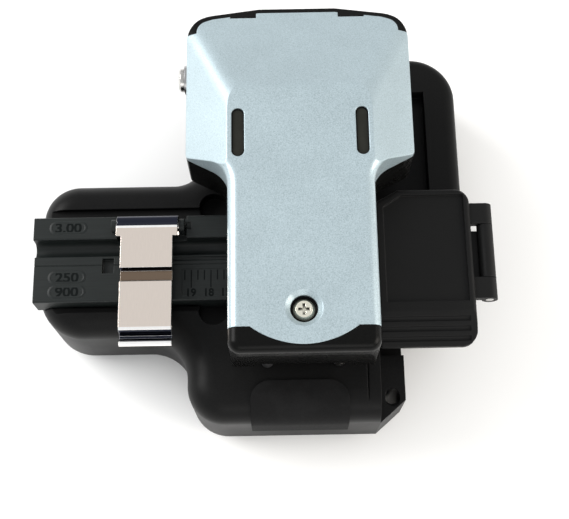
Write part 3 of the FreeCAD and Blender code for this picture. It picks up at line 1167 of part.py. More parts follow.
def make_clamp():
    """Bright sheet clamp: ears round the pin, a cross channel over the fibre and a turned-down front lip."""
    low, high = "lid_top - lid_sheet", "lid_top"
    sheet_form = padded("clamp_sheet", "YZ_Plane", [
        ("lid_axis_y", low), ("lid_axis_y", high), ("lid_channel_rear", high),
        ("lid_channel_rear - 0.4", "lid_top - lid_channel_depth"),
        ("lid_channel_front + 0.4", "lid_top - lid_channel_depth"),
        ("lid_channel_front", high), ("lid_front", high), ("lid_front - 1.0", "lid_top - 0.7"),
        ("lid_lip_front + 0.9", "lid_lip_z + 1.0"), ("lid_lip_front", "lid_lip_z + 0.9"),
        ("lid_lip_front", "lid_lip_z"), ("lid_lip_front + 1.5", "lid_lip_z"),
        ("lid_front - 0.3", "lid_top - 1.3"), ("lid_front + 0.2", low),
        ("lid_channel_front + 0.6 - lid_sheet", low),
        ("lid_channel_front + 0.6 - lid_sheet / 2", f"{low} - lid_channel_depth"),
        ("lid_channel_rear - 0.6 + lid_sheet / 2", f"{low} - lid_channel_depth"),
        ("lid_channel_rear - 0.6 + lid_sheet", low)], "lid_left", "lid_left + lid_width")
    ears = block("clamp_ears", ("lid_left - lid_ear", "lid_left + lid_width + lid_ear"),
                 ("lid_ear_front", "lid_axis_y"), (low, high))
    barrel = rod("clamp_barrel", "x", "lid_left - lid_ear", "lid_left + lid_width + lid_ear", "lid_barrel",
                 "lid_axis_y", "lid_axis_z")
    flanges = [block(f"clamp_flange_{side}", (start, f"{start} + lid_sheet"),
                     ("lid_front + 1", "lid_ear_front"),
                     ("fibre_z + lid_flange_gap", high)) for side, start in
               (("left", "lid_left"), ("right", "lid_left + lid_width - lid_sheet"))]
    bore = rod("clamp_bore", "x", "lid_left - 4", "lid_left + lid_width + 4",
               "lid_pin_radius + shaft_running",
               "lid_axis_y", "lid_axis_z")
    keep("clamp_lid", cut("clamp_lid", joined("clamp_whole", sheet_form, ears, barrel, *flanges), bore))
    pad_x = ("lid_left + lid_sheet + rubber_gap", "lid_left + lid_width - lid_sheet - rubber_gap")
    pad_y = ("lid_front + rubber_front", "lid_ear_front - rubber_end_gap")
    rubber = block("clamp_rubber_blank", pad_x, pad_y, ("fibre_z + pad_gap", low))
    room = block("clamp_rubber_room", ("lid_left", "lid_left + lid_width"),
                 ("lid_channel_front - rubber_gap", "lid_channel_rear + rubber_gap"),
                 (f"{low} - lid_channel_depth", "lid_top"))
    keep("clamp_rubber", cut("clamp_rubber", rubber, room))


def make_carriage():
    """Blade carriage: a block on the rail, a bracket for the blade and a tongue back to the lever's pin."""
    y = ("carriage_y - carriage_half_y", "carriage_y + carriage_half_y")
    blade_z = "fibre_z - fibre_drop - blade_radius"
    bracket_x = ("arm_x + blade_thick / 2 + bracket_gap",
                 "arm_x + blade_thick / 2 + bracket_gap + bracket_thick")
    body = block("carriage_block", ("arm_x - carriage_half_x", "arm_x + carriage_half_x"), y,
                 ("carriage_under", "carriage_top"))
    bracket = block("bracket_foot", bracket_x, ("carriage_y - bracket_half", "carriage_y + bracket_half"),
                    ("carriage_top - 1", blade_z))
    bracket_top = rod("bracket_top", "x", *bracket_x, "bracket_half", "carriage_y", blade_z)
    rail = block("carriage_rail_slot",
                 ("arm_x - rail_width / 2 - rail_running", "arm_x + rail_width / 2 + rail_running"),
                 ("carriage_y - carriage_half_y - 1", "carriage_y + carriage_half_y + 1"),
                 ("carriage_under - 1", "trough_floor + rail_height + rail_running"))
    screw_hole = rod("bracket_screw_hole", "x", f"{bracket_x[0]} - 1", f"{bracket_x[1]} + 1",
                     "blade_screw_radius", "carriage_y", blade_z)
    tongue_seat = block("tongue_seat", ("tongue_left", "tongue_left + tongue_width"),
                        (f"{y[1]} - tongue_lap", f"{y[1]} + 1"),
                        ("carriage_under + tongue_sink", "carriage_top + 1"))
    tongue_top = "carriage_top + tongue_rise"
    screw_x, screw_y = "tongue_left + tongue_width / 2", f"{y[1]} - tongue_screw_back"
    tongue_hole = rod("carriage_tongue_hole", "z", f"{tongue_top} - tongue_screw_length", tongue_top,
                      "tongue_screw_radius", screw_x, screw_y)
    keep("blade_carriage", cut("blade_carriage", joined("carriage_whole", body, bracket, bracket_top), rail,
                               screw_hole, tongue_seat, tongue_hole))
    pin_y, pin_z = "hinge_y + drive_forward", "hinge_z - drive_drop"
    fork_half = "(drive_pin_radius + fork_gap)"
    fork_front = f"{pin_y} - {fork_half} - fork_wall"
    tongue = padded("tongue_plate", "YZ_Plane", [
        (f"{y[1]} - tongue_lap", "carriage_under + tongue_sink"), (FORK_REAR, "carriage_under + tongue_sink"),
        (FORK_REAR, f"{pin_z} + fork_rise"), (fork_front, f"{pin_z} + fork_rise"), (fork_front, tongue_top),
        (f"{y[1]} - tongue_lap", tongue_top)], "tongue_left", "tongue_left + tongue_width")
    fork = block("tongue_fork", ("tongue_left - 1", "tongue_left + tongue_width + 1"),
                 (f"{pin_y} - {fork_half}", f"{pin_y} + {fork_half}"),
                 (f"{pin_z} - fork_reach", f"{pin_z} + fork_reach"))
    through = rod("tongue_hole", "z", "carriage_under", "carriage_top + 1", "tongue_screw_radius", screw_x,
                  screw_y)
    keep("drive_tongue", cut("drive_tongue", tongue, fork, through))
    keep("tongue_screw", pan_screw("tongue_screw", screw_x, screw_y, tongue_top, "tongue_screw_length",
                                   "tongue_screw_head_radius", "tongue_screw_head", "tongue_screw_radius"))
    bush_start = "arm_x - blade_thick / 2 - shaft_running"
    flange = rod("bush_flange", "x", "arm_x + blade_thick / 2 + shaft_running", bracket_x[0],
                 "bush_flange_radius", "carriage_y", blade_z)
    sleeve = rod("bush_sleeve", "x", bush_start, bracket_x[0], "blade_bore - shaft_running", "carriage_y",
                 blade_z)
    bush_hole = rod("bush_hole", "x", f"{bush_start} - 1", f"{bracket_x[0]} + 1", "blade_screw_radius",
                    "carriage_y", blade_z)
    keep("blade_bush", cut("blade_bush", joined("bush_form", flange, sleeve), bush_hole))
    head_end = f"{bush_start} - blade_screw_head"
    head = rod("blade_screw_head", "x", head_end, bush_start, "blade_screw_head_radius", "carriage_y",
               blade_z)
    shank = rod("blade_screw_shank", "x", bush_start, bracket_x[1], "blade_screw_radius", "carriage_y",
                blade_z)
    drive = block("blade_screw_slot", (f"{head_end} - 1", f"{head_end} + driver_slot_depth"),
                  ("carriage_y - blade_screw_head_radius - 1", "carriage_y + blade_screw_head_radius + 1"),
                  (f"{blade_z} - driver_slot_half", f"{blade_z} + driver_slot_half"))
    keep("blade_screw", cut("blade_screw", joined("blade_screw_form", head, shank), drive))
    rim = turned("blade_form", ("arm_x", "carriage_y", blade_z), [
        ("blade_bore", "-blade_thick / 2"), ("blade_radius - blade_bevel", "-blade_thick / 2"),
        ("blade_radius", "-blade_edge"), ("blade_radius", "blade_edge"),
        ("blade_radius - blade_bevel", "blade_thick / 2"), ("blade_bore", "blade_thick / 2")], "x")
    keep("blade_wheel", rim)


def make_scrap_box():
    """Box for the offcuts: a bin with the middle knuckle, a lid with a ribbed grip and outer knuckles."""
    walls = padded("bin_walls", "XY_Plane", [
        ("bin_left", "bin_front"), ("bin_right", "bin_front"), ("bin_right", "bin_rear"),
        ("bin_left + bin_relief_x", "bin_rear"), ("bin_left", "bin_rear - bin_relief_y")], "trough_floor",
                   "bin_top")
    fillet(walls, "bin_corner", upright_at(("bin_right", "bin_front"), ("bin_right", "bin_rear")))
    inner_right = "bin_right - bin_wall"
    inner_front, inner_rear = "bin_front + bin_wall", "bin_rear - bin_wall"
    hollow = padded("bin_hollow", "XY_Plane", [
        ("bin_left + bin_wall", inner_front), (inner_right, inner_front), (inner_right, inner_rear),
        ("bin_left + bin_relief_x", inner_rear), ("bin_left + bin_wall", f"{inner_rear} - bin_relief_y")],
        "trough_floor + bin_wall", "bin_top + 1")
    fillet(hollow, "bin_corner - bin_wall", upright_at((inner_right, inner_front), (inner_right, inner_rear)))
    middle = ("knuckle_split_front", "knuckle_split_rear")
    barrel = rod("bin_knuckle", "y", *middle, "knuckle_radius", "knuckle_x", "knuckle_z")
    web = block("bin_web", ("bin_right - bin_wall / 2", "knuckle_x + knuckle_radius / 2"),
                (middle[0], f"{middle[1]} - web_short"),
                ("knuckle_z - knuckle_radius", "knuckle_z - knuckle_radius + web_thick"))
    bore = rod("bin_pin_bore", "y", "knuckle_front - 1", "knuckle_rear + 1", "knuckle_pin_radius",
               "knuckle_x",
               "knuckle_z")
    holes = [rod(f"bin_hole{index}", "x", "bin_left - 0.5", "bin_left + bin_wall + 0.5", "bin_screw_radius",
                 y,
                 "bin_screw_z") for index, y in enumerate(BIN_SCREWS)]
    keep("scrap_bin", cut("scrap_bin", joined("bin_form", walls, barrel, web), hollow, bore, *holes))
    screws = []
    for index, y in enumerate(BIN_SCREWS):
        head = rod(f"bin_screw_head{index}", "x", "bin_left + bin_wall",
                   "bin_left + bin_wall + bin_screw_head",
                   "2 * bin_screw_radius", y, "bin_screw_z")
        shank = rod(f"bin_screw_shank{index}", "x", "bay_wall - bin_screw_reach", "bin_left + bin_wall",
                    "bin_screw_radius", y, "bin_screw_z")
        screws.append(joined(f"bin_screw{index}", head, shank))
    group("bin_screws", *screws)
    keep("scrap_hinge_pin", rod("scrap_hinge_pin", "y", "knuckle_front", "knuckle_rear", "knuckle_pin_radius",
                                "knuckle_x", "knuckle_z"))

    low, high = "bin_top + flap_gap", "bin_top + flap_plate"
    right, rear = "bin_right + flap_overhang", "bin_rear + flap_overhang"
    plate = padded("flap_form", "XY_Plane", [
        ("bin_left", "flap_front"), (right, "flap_front"), (right, rear), ("bin_left + bin_relief_x", rear),
        ("bin_left", f"{rear} - bin_relief_y")], low, high)
    fillet(plate, "bin_corner", upright_at((right, "flap_front"), (right, rear)))
    top, side = number(high), number("bin_left")
    fillet(plate, "flap_edge", lambda edge: level(edge, top) and edge.BoundBox.XMax > side + TINY)
    slant = padded("flap_slant", "YZ_Plane", [
        ("grip_start", high), ("flap_front", f"{high} - grip_fall"),
        ("flap_front - 1", f"{high} - grip_fall"),
        ("flap_front - 1", f"{high} + 1"), ("grip_start", f"{high} + 1")], "bin_left - 1", f"{right} + 1")
    inset = padded("flap_inset", "XY_Plane", [
        ("bin_left + flap_border", "flap_inset_front"), (f"{right} - flap_border", "flap_inset_front"),
        (f"{right} - flap_border", f"{rear} - flap_border"),
        ("bin_left + bin_relief_x + flap_border / 2", f"{rear} - flap_border"),
        ("bin_left + flap_border", f"{rear} - bin_relief_y - flap_border")], f"{high} - flap_inset",
                   f"{high} + 1")
    grips = []
    for index in range(3):
        y = f"grip_first - {index} * grip_pitch"
        slope_z = f"{high} - grip_fall * (grip_start - ({y})) / (grip_start - flap_front)"
        grips.append(rod(f"flap_grip{index}", "x", "bin_left - 1", f"{right} - flap_border", "grip_radius", y,
                         f"{slope_z} + grip_radius / 3"))
    arms, knuckles = [], []
    for side, span in (("front", ("knuckle_front", "knuckle_split_front - knuckle_gap")),
                       ("rear", ("knuckle_split_rear + knuckle_gap", "knuckle_rear"))):
        arms.append(block(f"flap_arm_{side}", ("bin_right - 1", "knuckle_x"), span,
                          (low, "knuckle_z + knuckle_radius")))
        knuckles.append(rod(f"flap_knuckle_{side}", "y", *span, "knuckle_radius", "knuckle_x", "knuckle_z"))
    pin_bore = rod("flap_pin_bore", "y", "knuckle_front - 1", "knuckle_rear + 1",
                   "knuckle_pin_radius + shaft_running", "knuckle_x", "knuckle_z")
    lid = cut("flap_surface", plate, slant, inset, *grips)
    keep("scrap_lid", cut("scrap_lid", joined("flap_whole", lid, *arms, *knuckles), pin_bore))


def write_parts():
    """Check every object, then write one file for each sub-part."""
    doc.recompute()
    for item in doc.Objects:
        if "Invalid" in item.State or "Error" in item.State:
            raise RuntimeError(f"{item.Name} did not build: {item.State}")
    os.makedirs("parts", exist_ok=True)
    for item in SUB_PARTS:
        if item.Shape.isNull() or not item.Shape.isValid() or not item.Shape.Solids:
            raise RuntimeError(f"{item.Label} has no valid solid")
    for item in SUB_PARTS:
        item.Shape.exportStep(f"parts/{item.Label}.step")
    print(len(SUB_PARTS), "sub-parts,", sum(len(item.Shape.Solids) for item in SUB_PARTS), "solids")


make_arm()
make_base()
make_adapter()
make_clamp()
make_carriage()
make_scrap_box()
write_parts()
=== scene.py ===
import json
import math
import bpy
import bmesh
from mathutils import Matrix, Vector


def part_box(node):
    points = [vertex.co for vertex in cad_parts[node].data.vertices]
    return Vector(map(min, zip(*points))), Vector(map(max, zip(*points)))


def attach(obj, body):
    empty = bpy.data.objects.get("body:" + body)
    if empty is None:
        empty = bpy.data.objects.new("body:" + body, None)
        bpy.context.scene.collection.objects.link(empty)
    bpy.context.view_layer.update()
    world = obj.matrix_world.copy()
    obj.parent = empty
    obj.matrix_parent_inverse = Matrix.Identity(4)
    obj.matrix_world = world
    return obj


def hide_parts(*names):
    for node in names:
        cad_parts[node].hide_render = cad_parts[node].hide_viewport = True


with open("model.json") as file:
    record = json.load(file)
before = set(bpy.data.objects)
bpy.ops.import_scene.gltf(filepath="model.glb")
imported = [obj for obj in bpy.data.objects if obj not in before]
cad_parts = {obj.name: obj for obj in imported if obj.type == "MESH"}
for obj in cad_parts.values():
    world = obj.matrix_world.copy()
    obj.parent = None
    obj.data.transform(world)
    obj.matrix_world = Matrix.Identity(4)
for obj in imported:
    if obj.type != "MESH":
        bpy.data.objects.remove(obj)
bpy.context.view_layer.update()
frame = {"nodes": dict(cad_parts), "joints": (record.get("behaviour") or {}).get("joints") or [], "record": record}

# Fibre cleaver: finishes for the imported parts, the raised marks on the adapter, studio and camera.
nodes = frame["nodes"]
scene = bpy.context.scene
mm = 0.001


# ---- node helpers: small building blocks for the finishes
rubFlat = 0.985  # cosine under which a surface counts as leaning towards an edge
shadeRange = (0.25, 0.85)  # open and closed ends of the crease shade


def newMaterial(name):
    material = bpy.data.materials.new(name)
    material.use_nodes = True
    tree = material.node_tree
    shader = tree.nodes["Principled BSDF"]
    return material, tree, shader


def addNode(tree, kind, settings=None, **inputs):
    node = tree.nodes.new(kind)
    for key, value in (settings or {}).items():
        setattr(node, key, value)
    for key, value in inputs.items():
        node.inputs[key.replace("_", " ")].default_value = value
    return node


def scaled(tint, share, lift=0.0):
    # a lighter or darker shade of the same tint
    return tuple(value * share + lift for value in tint)


def surfacePoints(tree):
    # object coordinates are metres in the part's own frame
    return addNode(tree, "ShaderNodeTexCoord").outputs["Object"]


def noiseAt(tree, points, sizeMm, detail=3.0, roughness=0.55, stretch=None):
    source = points
    if stretch:
        mapping = addNode(tree, "ShaderNodeMapping")
        mapping.inputs["Scale"].default_value = stretch
        tree.links.new(points, mapping.inputs["Vector"])
        source = mapping.outputs["Vector"]
    noise = addNode(tree, "ShaderNodeTexNoise", Scale=1.0 / (sizeMm * mm), Detail=detail, Roughness=roughness)
    tree.links.new(source, noise.inputs["Vector"])
    return noise.outputs["Fac"]


def ramp(tree, factor, stops):
    node = addNode(tree, "ShaderNodeValToRGB")
    line = node.color_ramp
    while len(line.elements) < len(stops):
        line.elements.new(0.5)
    for element, (spot, colour) in zip(line.elements, stops):
        element.position = spot
        element.color = (*colour, 1.0) if len(colour) == 3 else colour
    tree.links.new(factor, node.inputs["Fac"])
    return node.outputs["Color"]


def greys(tree, factor, low, high, start=0.3, end=0.7):
    node = addNode(tree, "ShaderNodeMapRange")
    node.inputs["From Min"].default_value = start
    node.inputs["From Max"].default_value = end
    node.inputs["To Min"].default_value = low
    node.inputs["To Max"].default_value = high
    tree.links.new(factor, node.inputs["Value"])
    return node.outputs["Result"]


def blend(tree, factor, first, second, kind="MIX"):
    node = addNode(tree, "ShaderNodeMix", {"data_type": "RGBA", "blend_type": kind})
    for socket, value in ((node.inputs[0], factor), (node.inputs[6], first), (node.inputs[7], second)):
        if isinstance(value, (int, float)):
            socket.default_value = value
        elif isinstance(value, tuple):
            socket.default_value = (*value, 1.0)
        else:
            tree.links.new(value, socket)
    return node.outputs[2]


def bumpFrom(tree, height, depthMm, strength=1.0, previous=None):
    node = addNode(tree, "ShaderNodeBump", Strength=strength, Distance=depthMm * mm)
    tree.links.new(height, node.inputs["Height"])
    if previous:
        tree.links.new(previous, node.inputs["Normal"])
    return node.outputs["Normal"]


def roundedEdges(tree, radiusMm, samples=6):
    # the small radius that moulding, paint or a deburring tool leaves on every edge
    return addNode(tree, "ShaderNodeBevel", {"samples": samples}, Radius=radiusMm * mm).outputs["Normal"]


def edgeRub(tree, softNormal, reach=0.35):
    # 1 on an edge and 0 on a flat, from how far the rounded normal leans off the true one
    flat = addNode(tree, "ShaderNodeNewGeometry").outputs["True Normal"]
    lean = addNode(tree, "ShaderNodeVectorMath", {"operation": "DOT_PRODUCT"})
    tree.links.new(softNormal, lean.inputs[0])
    tree.links.new(flat, lean.inputs[1])
    return greys(tree, lean.outputs["Value"], 1.0, 0.0, 1.0 - reach, rubFlat)


def creaseShade(tree, colour, reachMm, depth=0.0):
    # painted shade in recesses and under heads: the colour darkened by ambient occlusion
    shade = addNode(tree, "ShaderNodeAmbientOcclusion", {"samples": 6}, Distance=reachMm * mm)
    dark = greys(tree, shade.outputs["AO"], depth, 1.0, *shadeRange)
    return blend(tree, 1.0, colour, dark, "MULTIPLY")


# ---- finishes
silverPaint = {
    "tint": (0.384, 0.472, 0.506),
    "flakeTint": (0.47, 0.56, 0.60),
    "deepTint": (0.275, 0.345, 0.370),
    "flakeSizeMm": 0.17,
    "cloudSizeMm": 9.0,
    "roughness": (0.32, 0.46),
    "peelSizeMm": 0.55,
    "peelBump": (0.006, 0.6),  # depth in millimetres and strength, here and below
    "flakeBump": (0.004, 0.5),
    "edgeMm": 0.35,
    "creaseMm": 1.6,
    "creaseDepth": 0.02,
    "metallic": 0.45,
    "coat": (0.35, 0.22),
}


def makeSilverPaint():
    material, tree, shader = newMaterial("silverPaint")
    points = surfacePoints(tree)
    look = silverPaint
    flakes = noiseAt(tree, points, look["flakeSizeMm"], detail=2.0)
    clouds = noiseAt(tree, points, look["cloudSizeMm"], detail=2.0)
    base = ramp(tree, flakes, [(0.30, look["deepTint"]), (0.50, look["tint"]), (0.72, look["flakeTint"])])
    soft = ramp(tree, clouds, [(0.35, (0.94, 0.94, 0.94)), (0.65, (1.0, 1.0, 1.0))])
    creaseShadedPaint = creaseShade(tree, blend(tree, 1.0, base, soft, "MULTIPLY"), look["creaseMm"], look["creaseDepth"])
    tree.links.new(creaseShadedPaint, shader.inputs["Base Color"])
    tree.links.new(greys(tree, flakes, *reversed(look["roughness"])), shader.inputs["Roughness"])
    peel = noiseAt(tree, points, look["peelSizeMm"], detail=1.0)
    fine = bumpFrom(tree, flakes, *look["flakeBump"], roundedEdges(tree, look["edgeMm"]))
    tree.links.new(bumpFrom(tree, peel, *look["peelBump"], fine), shader.inputs["Normal"])
    shader.inputs["Metallic"].default_value = look["metallic"]
    shader.inputs["Coat Weight"].default_value, shader.inputs["Coat Roughness"].default_value = look["coat"]
    return material


moulding = {
    "grainBump": (0.012, 0.7),
    "patchMm": 14.0,
    "edgeMm": 0.3,
    "rub": 0.35,
}


def makeBlackMoulding(name, tint, grainMm, roughness, sheen):
    # moulded or coated black with a fine eroded grain, finger sheen and rubbed edges
    material, tree, shader = newMaterial(name)
    points = surfacePoints(tree)
    grain = noiseAt(tree, points, grainMm, detail=2.0)
    patches = noiseAt(tree, points, moulding["patchMm"], detail=3.0)
    base = ramp(tree, patches, [(0.30, tint), (0.75, scaled(tint, 1.25))])
    speckled = blend(tree, greys(tree, grain, 0.0, 0.35), base, scaled(tint, 1.9, 0.004))
    soft = roundedEdges(tree, moulding["edgeMm"])
    rubbed = greys(tree, edgeRub(tree, soft), 0.0, moulding["rub"], 0.0, 1.0)
    worn = blend(tree, rubbed, speckled, scaled(tint, 3.0, 0.012))
    tree.links.new(worn, shader.inputs["Base Color"])
    tree.links.new(greys(tree, patches, roughness[0], roughness[1]), shader.inputs["Roughness"])
    tree.links.new(bumpFrom(tree, grain, *moulding["grainBump"], soft), shader.inputs["Normal"])
    shader.inputs["Specular IOR Level"].default_value = sheen
    return material


anodising = {
    "lineMm": 0.18,
    "lineStretch": (0.03, 1.0, 1.0),
    "lineBump": (0.003, 0.4),
    "patchMm": 10.0,
    "roughness": (0.38, 0.48),
    "edgeMm": 0.2,
    "rub": 0.6,
    "rubbedTint": (0.048, 0.056, 0.054),
    "sheen": 0.24,
}


def makeAnodised(name, tint):
    # black anodised aluminium: faint lines from the mill under a satin black
    material, tree, shader = newMaterial(name)
    points = surfacePoints(tree)
    look = anodising
    lines = noiseAt(tree, points, look["lineMm"], detail=2.0, stretch=look["lineStretch"])
    patches = noiseAt(tree, points, look["patchMm"], detail=2.0)
    base = ramp(tree, lines, [(0.30, scaled(tint, 0.85)), (0.70, scaled(tint, 1.25))])
    soft = roundedEdges(tree, look["edgeMm"])
    rubbed = greys(tree, edgeRub(tree, soft), 0.0, look["rub"], 0.0, 1.0)
    tree.links.new(blend(tree, rubbed, base, look["rubbedTint"]), shader.inputs["Base Color"])
    tree.links.new(greys(tree, patches, *look["roughness"]), shader.inputs["Roughness"])
    tree.links.new(bumpFrom(tree, lines, *look["lineBump"], soft), shader.inputs["Normal"])
    shader.inputs["Specular IOR Level"].default_value = look["sheen"]
    return material


plating = {
    "hairMm": 0.12,
    "hairStretch": (1.0, 0.06, 1.0),
    "waveMm": 5.0,
    "waveBump": (0.01, 0.2),
    "edgeMm": 0.12,
    "creaseMm": 0.8,
    "creaseDepth": 0.05,
}


def makePlated(name, tint, roughness=(0.07, 0.13), brush=plating["hairStretch"]):
    # bright plate: almost mirror, with hairlines and a slight waviness
    material, tree, shader = newMaterial(name)
    points = surfacePoints(tree)
    look = plating
    hair = noiseAt(tree, points, look["hairMm"], detail=2.0, stretch=brush)
    wave = noiseAt(tree, points, look["waveMm"], detail=1.0)
    base = ramp(tree, hair, [(0.3, scaled(tint, 0.97)), (0.7, tint)])
    shaded = creaseShade(tree, base, look["creaseMm"], look["creaseDepth"])
    tree.links.new(shaded, shader.inputs["Base Color"])
    tree.links.new(greys(tree, hair, *roughness), shader.inputs["Roughness"])
    wavy = bumpFrom(tree, wave, *look["waveBump"], roundedEdges(tree, look["edgeMm"]))
    tree.links.new(wavy, shader.inputs["Normal"])
    shader.inputs["Metallic"].default_value = 1.0
    return material


steel = {
    "lineMm": 0.14,
    "lineBump": (0.003, 0.5),
    "edgeMm": 0.15,
    "creaseMm": 1.0,
    "creaseDepth": 0.1,
}


def makeSteel(name, tint, roughness=(0.24, 0.38), stretch=(0.05, 1.0, 1.0)):
    # ground or milled metal with fine lines along one way
    material, tree, shader = newMaterial(name)
    points = surfacePoints(tree)
    look = steel
    lines = noiseAt(tree, points, look["lineMm"], detail=3.0, stretch=stretch)
    base = ramp(tree, lines, [(0.3, scaled(tint, 0.8)), (0.7, tint)])
    shaded = creaseShade(tree, base, look["creaseMm"], look["creaseDepth"])
    tree.links.new(shaded, shader.inputs["Base Color"])
    tree.links.new(greys(tree, lines, *roughness), shader.inputs["Roughness"])
    ground = bumpFrom(tree, lines, *look["lineBump"], roundedEdges(tree, look["edgeMm"]))
    tree.links.new(ground, shader.inputs["Normal"])
    shader.inputs["Metallic"].default_value = 1.0
    return material


rubber = {
    "grainBump": (0.02, 0.6),
    "dustMm": 4.0,
    "roughness": (0.68, 0.85),
    "edgeMm": 0.3,
    "sheen": 0.16,
}


def makeRubber(name, tint, grainMm=0.35):
    # soft matt rubber with a little dust in its grain
    material, tree, shader = newMaterial(name)
    points = surfacePoints(tree)
    grain = noiseAt(tree, points, grainMm, detail=4.0, roughness=0.65)
    look = rubber
    dust = noiseAt(tree, points, look["dustMm"], detail=5.0, roughness=0.6)
    base = blend(tree, greys(tree, dust, 0.0, 0.25, 0.45, 0.75), tint, scaled(tint, 2.2, 0.01))
    tree.links.new(base, shader.inputs["Base Color"])
    tree.links.new(greys(tree, grain, *look["roughness"]), shader.inputs["Roughness"])
    soft = bumpFrom(tree, grain, *look["grainBump"], roundedEdges(tree, look["edgeMm"]))
    tree.links.new(soft, shader.inputs["Normal"])
    shader.inputs["Specular IOR Level"].default_value = look["sheen"]
    return material


mattMark = {
    "tint": (0.0042, 0.0052, 0.0052),
    "grainMm": 0.12,
    "roughness": (0.75, 0.90),
    "sheen": 0.05,
}


def makeMattMark():
    # lasered marks: burnt matt, with hardly any shine
    material, tree, shader = newMaterial("figureFinish")
    look = mattMark
    grain = noiseAt(tree, surfacePoints(tree), look["grainMm"], detail=2.0)
    base = ramp(tree, grain, [(0.3, look["tint"]), (0.7, scaled(look["tint"], 1.8))])
    tree.links.new(base, shader.inputs["Base Color"])
    tree.links.new(greys(tree, grain, *look["roughness"]), shader.inputs["Roughness"])
    shader.inputs["Specular IOR Level"].default_value = look["sheen"]
    return material


finishes = {
    "silver_paint": makeSilverPaint(),
    "black_housing": makeBlackMoulding("blackHousing", (0.0040, 0.0040, 0.0040), 0.26, (0.36, 0.48), 0.09),
    "black_arm": makeBlackMoulding("blackArm", (0.0020, 0.0020, 0.0019), 0.18, (0.22, 0.30), 0.08),
    "black_plastic": makeBlackMoulding("blackPlastic", (0.0056, 0.0056, 0.0056), 0.20, (0.42, 0.55), 0.13),
    "dark_insert": makeRubber("darkInsert", (0.0135, 0.0135, 0.0105), 0.3),
    "dark_aluminium": makeAnodised("darkAluminium", (0.0078, 0.0100, 0.0097)),
    "clamp_chrome": makePlated("clampChrome", (0.86, 0.76, 0.68)),
    "bright_screw": makePlated("brightScrew", (0.90, 0.87, 0.74), (0.18, 0.28), (1.0, 1.0, 1.0)),
    "magnet_nickel": makePlated("magnetNickel", (0.66, 0.64, 0.60), (0.18, 0.3)),
    "steel_screws": makeSteel("steelScrews", (0.50, 0.50, 0.49), stretch=(1.0, 1.0, 1.0)),
    "pin_steel": makeSteel("pinSteel", (0.62, 0.61, 0.59), (0.16, 0.28), (1.0, 0.08, 1.0)),
    "plain_steel": makeSteel("plainSteel", (0.48, 0.48, 0.48)),
    "anvil_steel": makeSteel("anvilSteel", (0.55, 0.55, 0.56), (0.14, 0.22)),
    "hard_blade": makeSteel("hardBlade", (0.36, 0.36, 0.38), (0.10, 0.2)),
    "bright_aluminium": makeSteel("brightAluminium", (0.66, 0.66, 0.67), (0.3, 0.42)),
    "bronze": makeSteel("bronzeBush", (0.52, 0.34, 0.15), (0.3, 0.45)),
    "rubber_pads": makeRubber("rubberPads", (0.020, 0.020, 0.021)),
    "soft_thumb": makeRubber("softThumb", (0.0030, 0.0030, 0.0032), 0.28),
}
slotOf = {row["node"]: row["material_slot"] for row in frame["record"]["subparts"]}
for nodeName, item in nodes.items():
    finish = finishes[slotOf[nodeName]]
    item.data.materials.clear()
    item.data.materials.append(finish)
print("finishes set on", len(nodes), "parts")


# ---- small mesh helpers for the added pieces
def meshPiece(name, mesh, body, finish):
    piece = bpy.data.objects.new(name, mesh)
    scene.collection.objects.link(piece)
    mesh.materials.clear()
    mesh.materials.append(finish)
    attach(piece, body)
    return piece


def stadiumRing(width, height, count=20):
    # outline of a slot with round ends, anticlockwise about its middle
    radius = height / 2
    straight = width / 2 - radius
    spots = []
    for side, start in ((1, -90), (-1, 90)):
        for step in range(count + 1):
            angle = math.radians(start + 180 * step / count)
            spots.append((side * straight + radius * math.cos(angle), radius * math.sin(angle)))
    return spots


def joinRings(grid, rings, closed=True):
    # faces between each ring of corners and the next, and from the last back to the first
    count = len(rings[0])
    for index, ring in enumerate(rings if closed else rings[:-1]):
        after = rings[(index + 1) % len(rings)]
        for step in range(count):
            following = (step + 1) % count
            grid.faces.new((ring[step], ring[following], after[following], after[step]))


def gridMesh(name, grid):
    bmesh.ops.recalc_face_normals(grid, faces=grid.faces)
    mesh = bpy.data.meshes.new(name)
    grid.to_mesh(mesh)
    grid.free()
    return mesh


def roundEdges(piece, name, width, degrees=30, segments=3):
    # a small radius on every edge sharper than the angle
    rounding = piece.modifiers.new(name, "BEVEL")
    rounding.width = width
    rounding.segments = segments
    rounding.limit_method = "ANGLE"
    rounding.angle_limit = math.radians(degrees)
    return rounding


faceScale = 1.38  # type size of the built-in face over the height of its figures
faceBevel = 0.3  # rounding of a raised figure's edge over its depth


def letterMesh(words, height, depth, weight=0.0, stretch=1.0):
    # raised figures from the built-in face, centred on their middle
    curve = bpy.data.curves.new("figures", "FONT")
    curve.body = words
    curve.size = height * faceScale
    curve.extrude = depth
    curve.offset = weight
    curve.bevel_depth = depth * faceBevel
    curve.align_x = "CENTER"
    curve.align_y = "CENTER"
    holder = bpy.data.objects.new("figures", curve)
    scene.collection.objects.link(holder)
    bpy.context.view_layer.update()
    made = bpy.data.meshes.new_from_object(holder.evaluated_get(bpy.context.evaluated_depsgraph_get()))
    bpy.data.objects.remove(holder)
    bpy.data.curves.remove(curve)
    middle = sum((Vector(corner) for corner in boxCorners(made)), Vector()) / 2
    made.transform(Matrix.Diagonal((stretch, 1, 1, 1)) @ Matrix.Translation((-middle.x, -middle.y, 0)))
    return made


def boxCorners(mesh):
    spots = [vertex.co for vertex in mesh.vertices]
    low = [min(spot[axis] for spot in spots) for axis in range(3)]
    high = [max(spot[axis] for spot in spots) for axis in range(3)]
    return low, high


def mergeMeshes(name, meshes):
    grid = bmesh.new()
    for mesh in meshes:
        grid.from_mesh(mesh)
    whole = bpy.data.meshes.new(name)
    grid.to_mesh(whole)
    grid.free()
    for mesh in meshes:
        bpy.data.meshes.remove(mesh)
    return whole


def placed(mesh, x, y, z):
    mesh.transform(Matrix.Translation((x, y, z)))
    return mesh


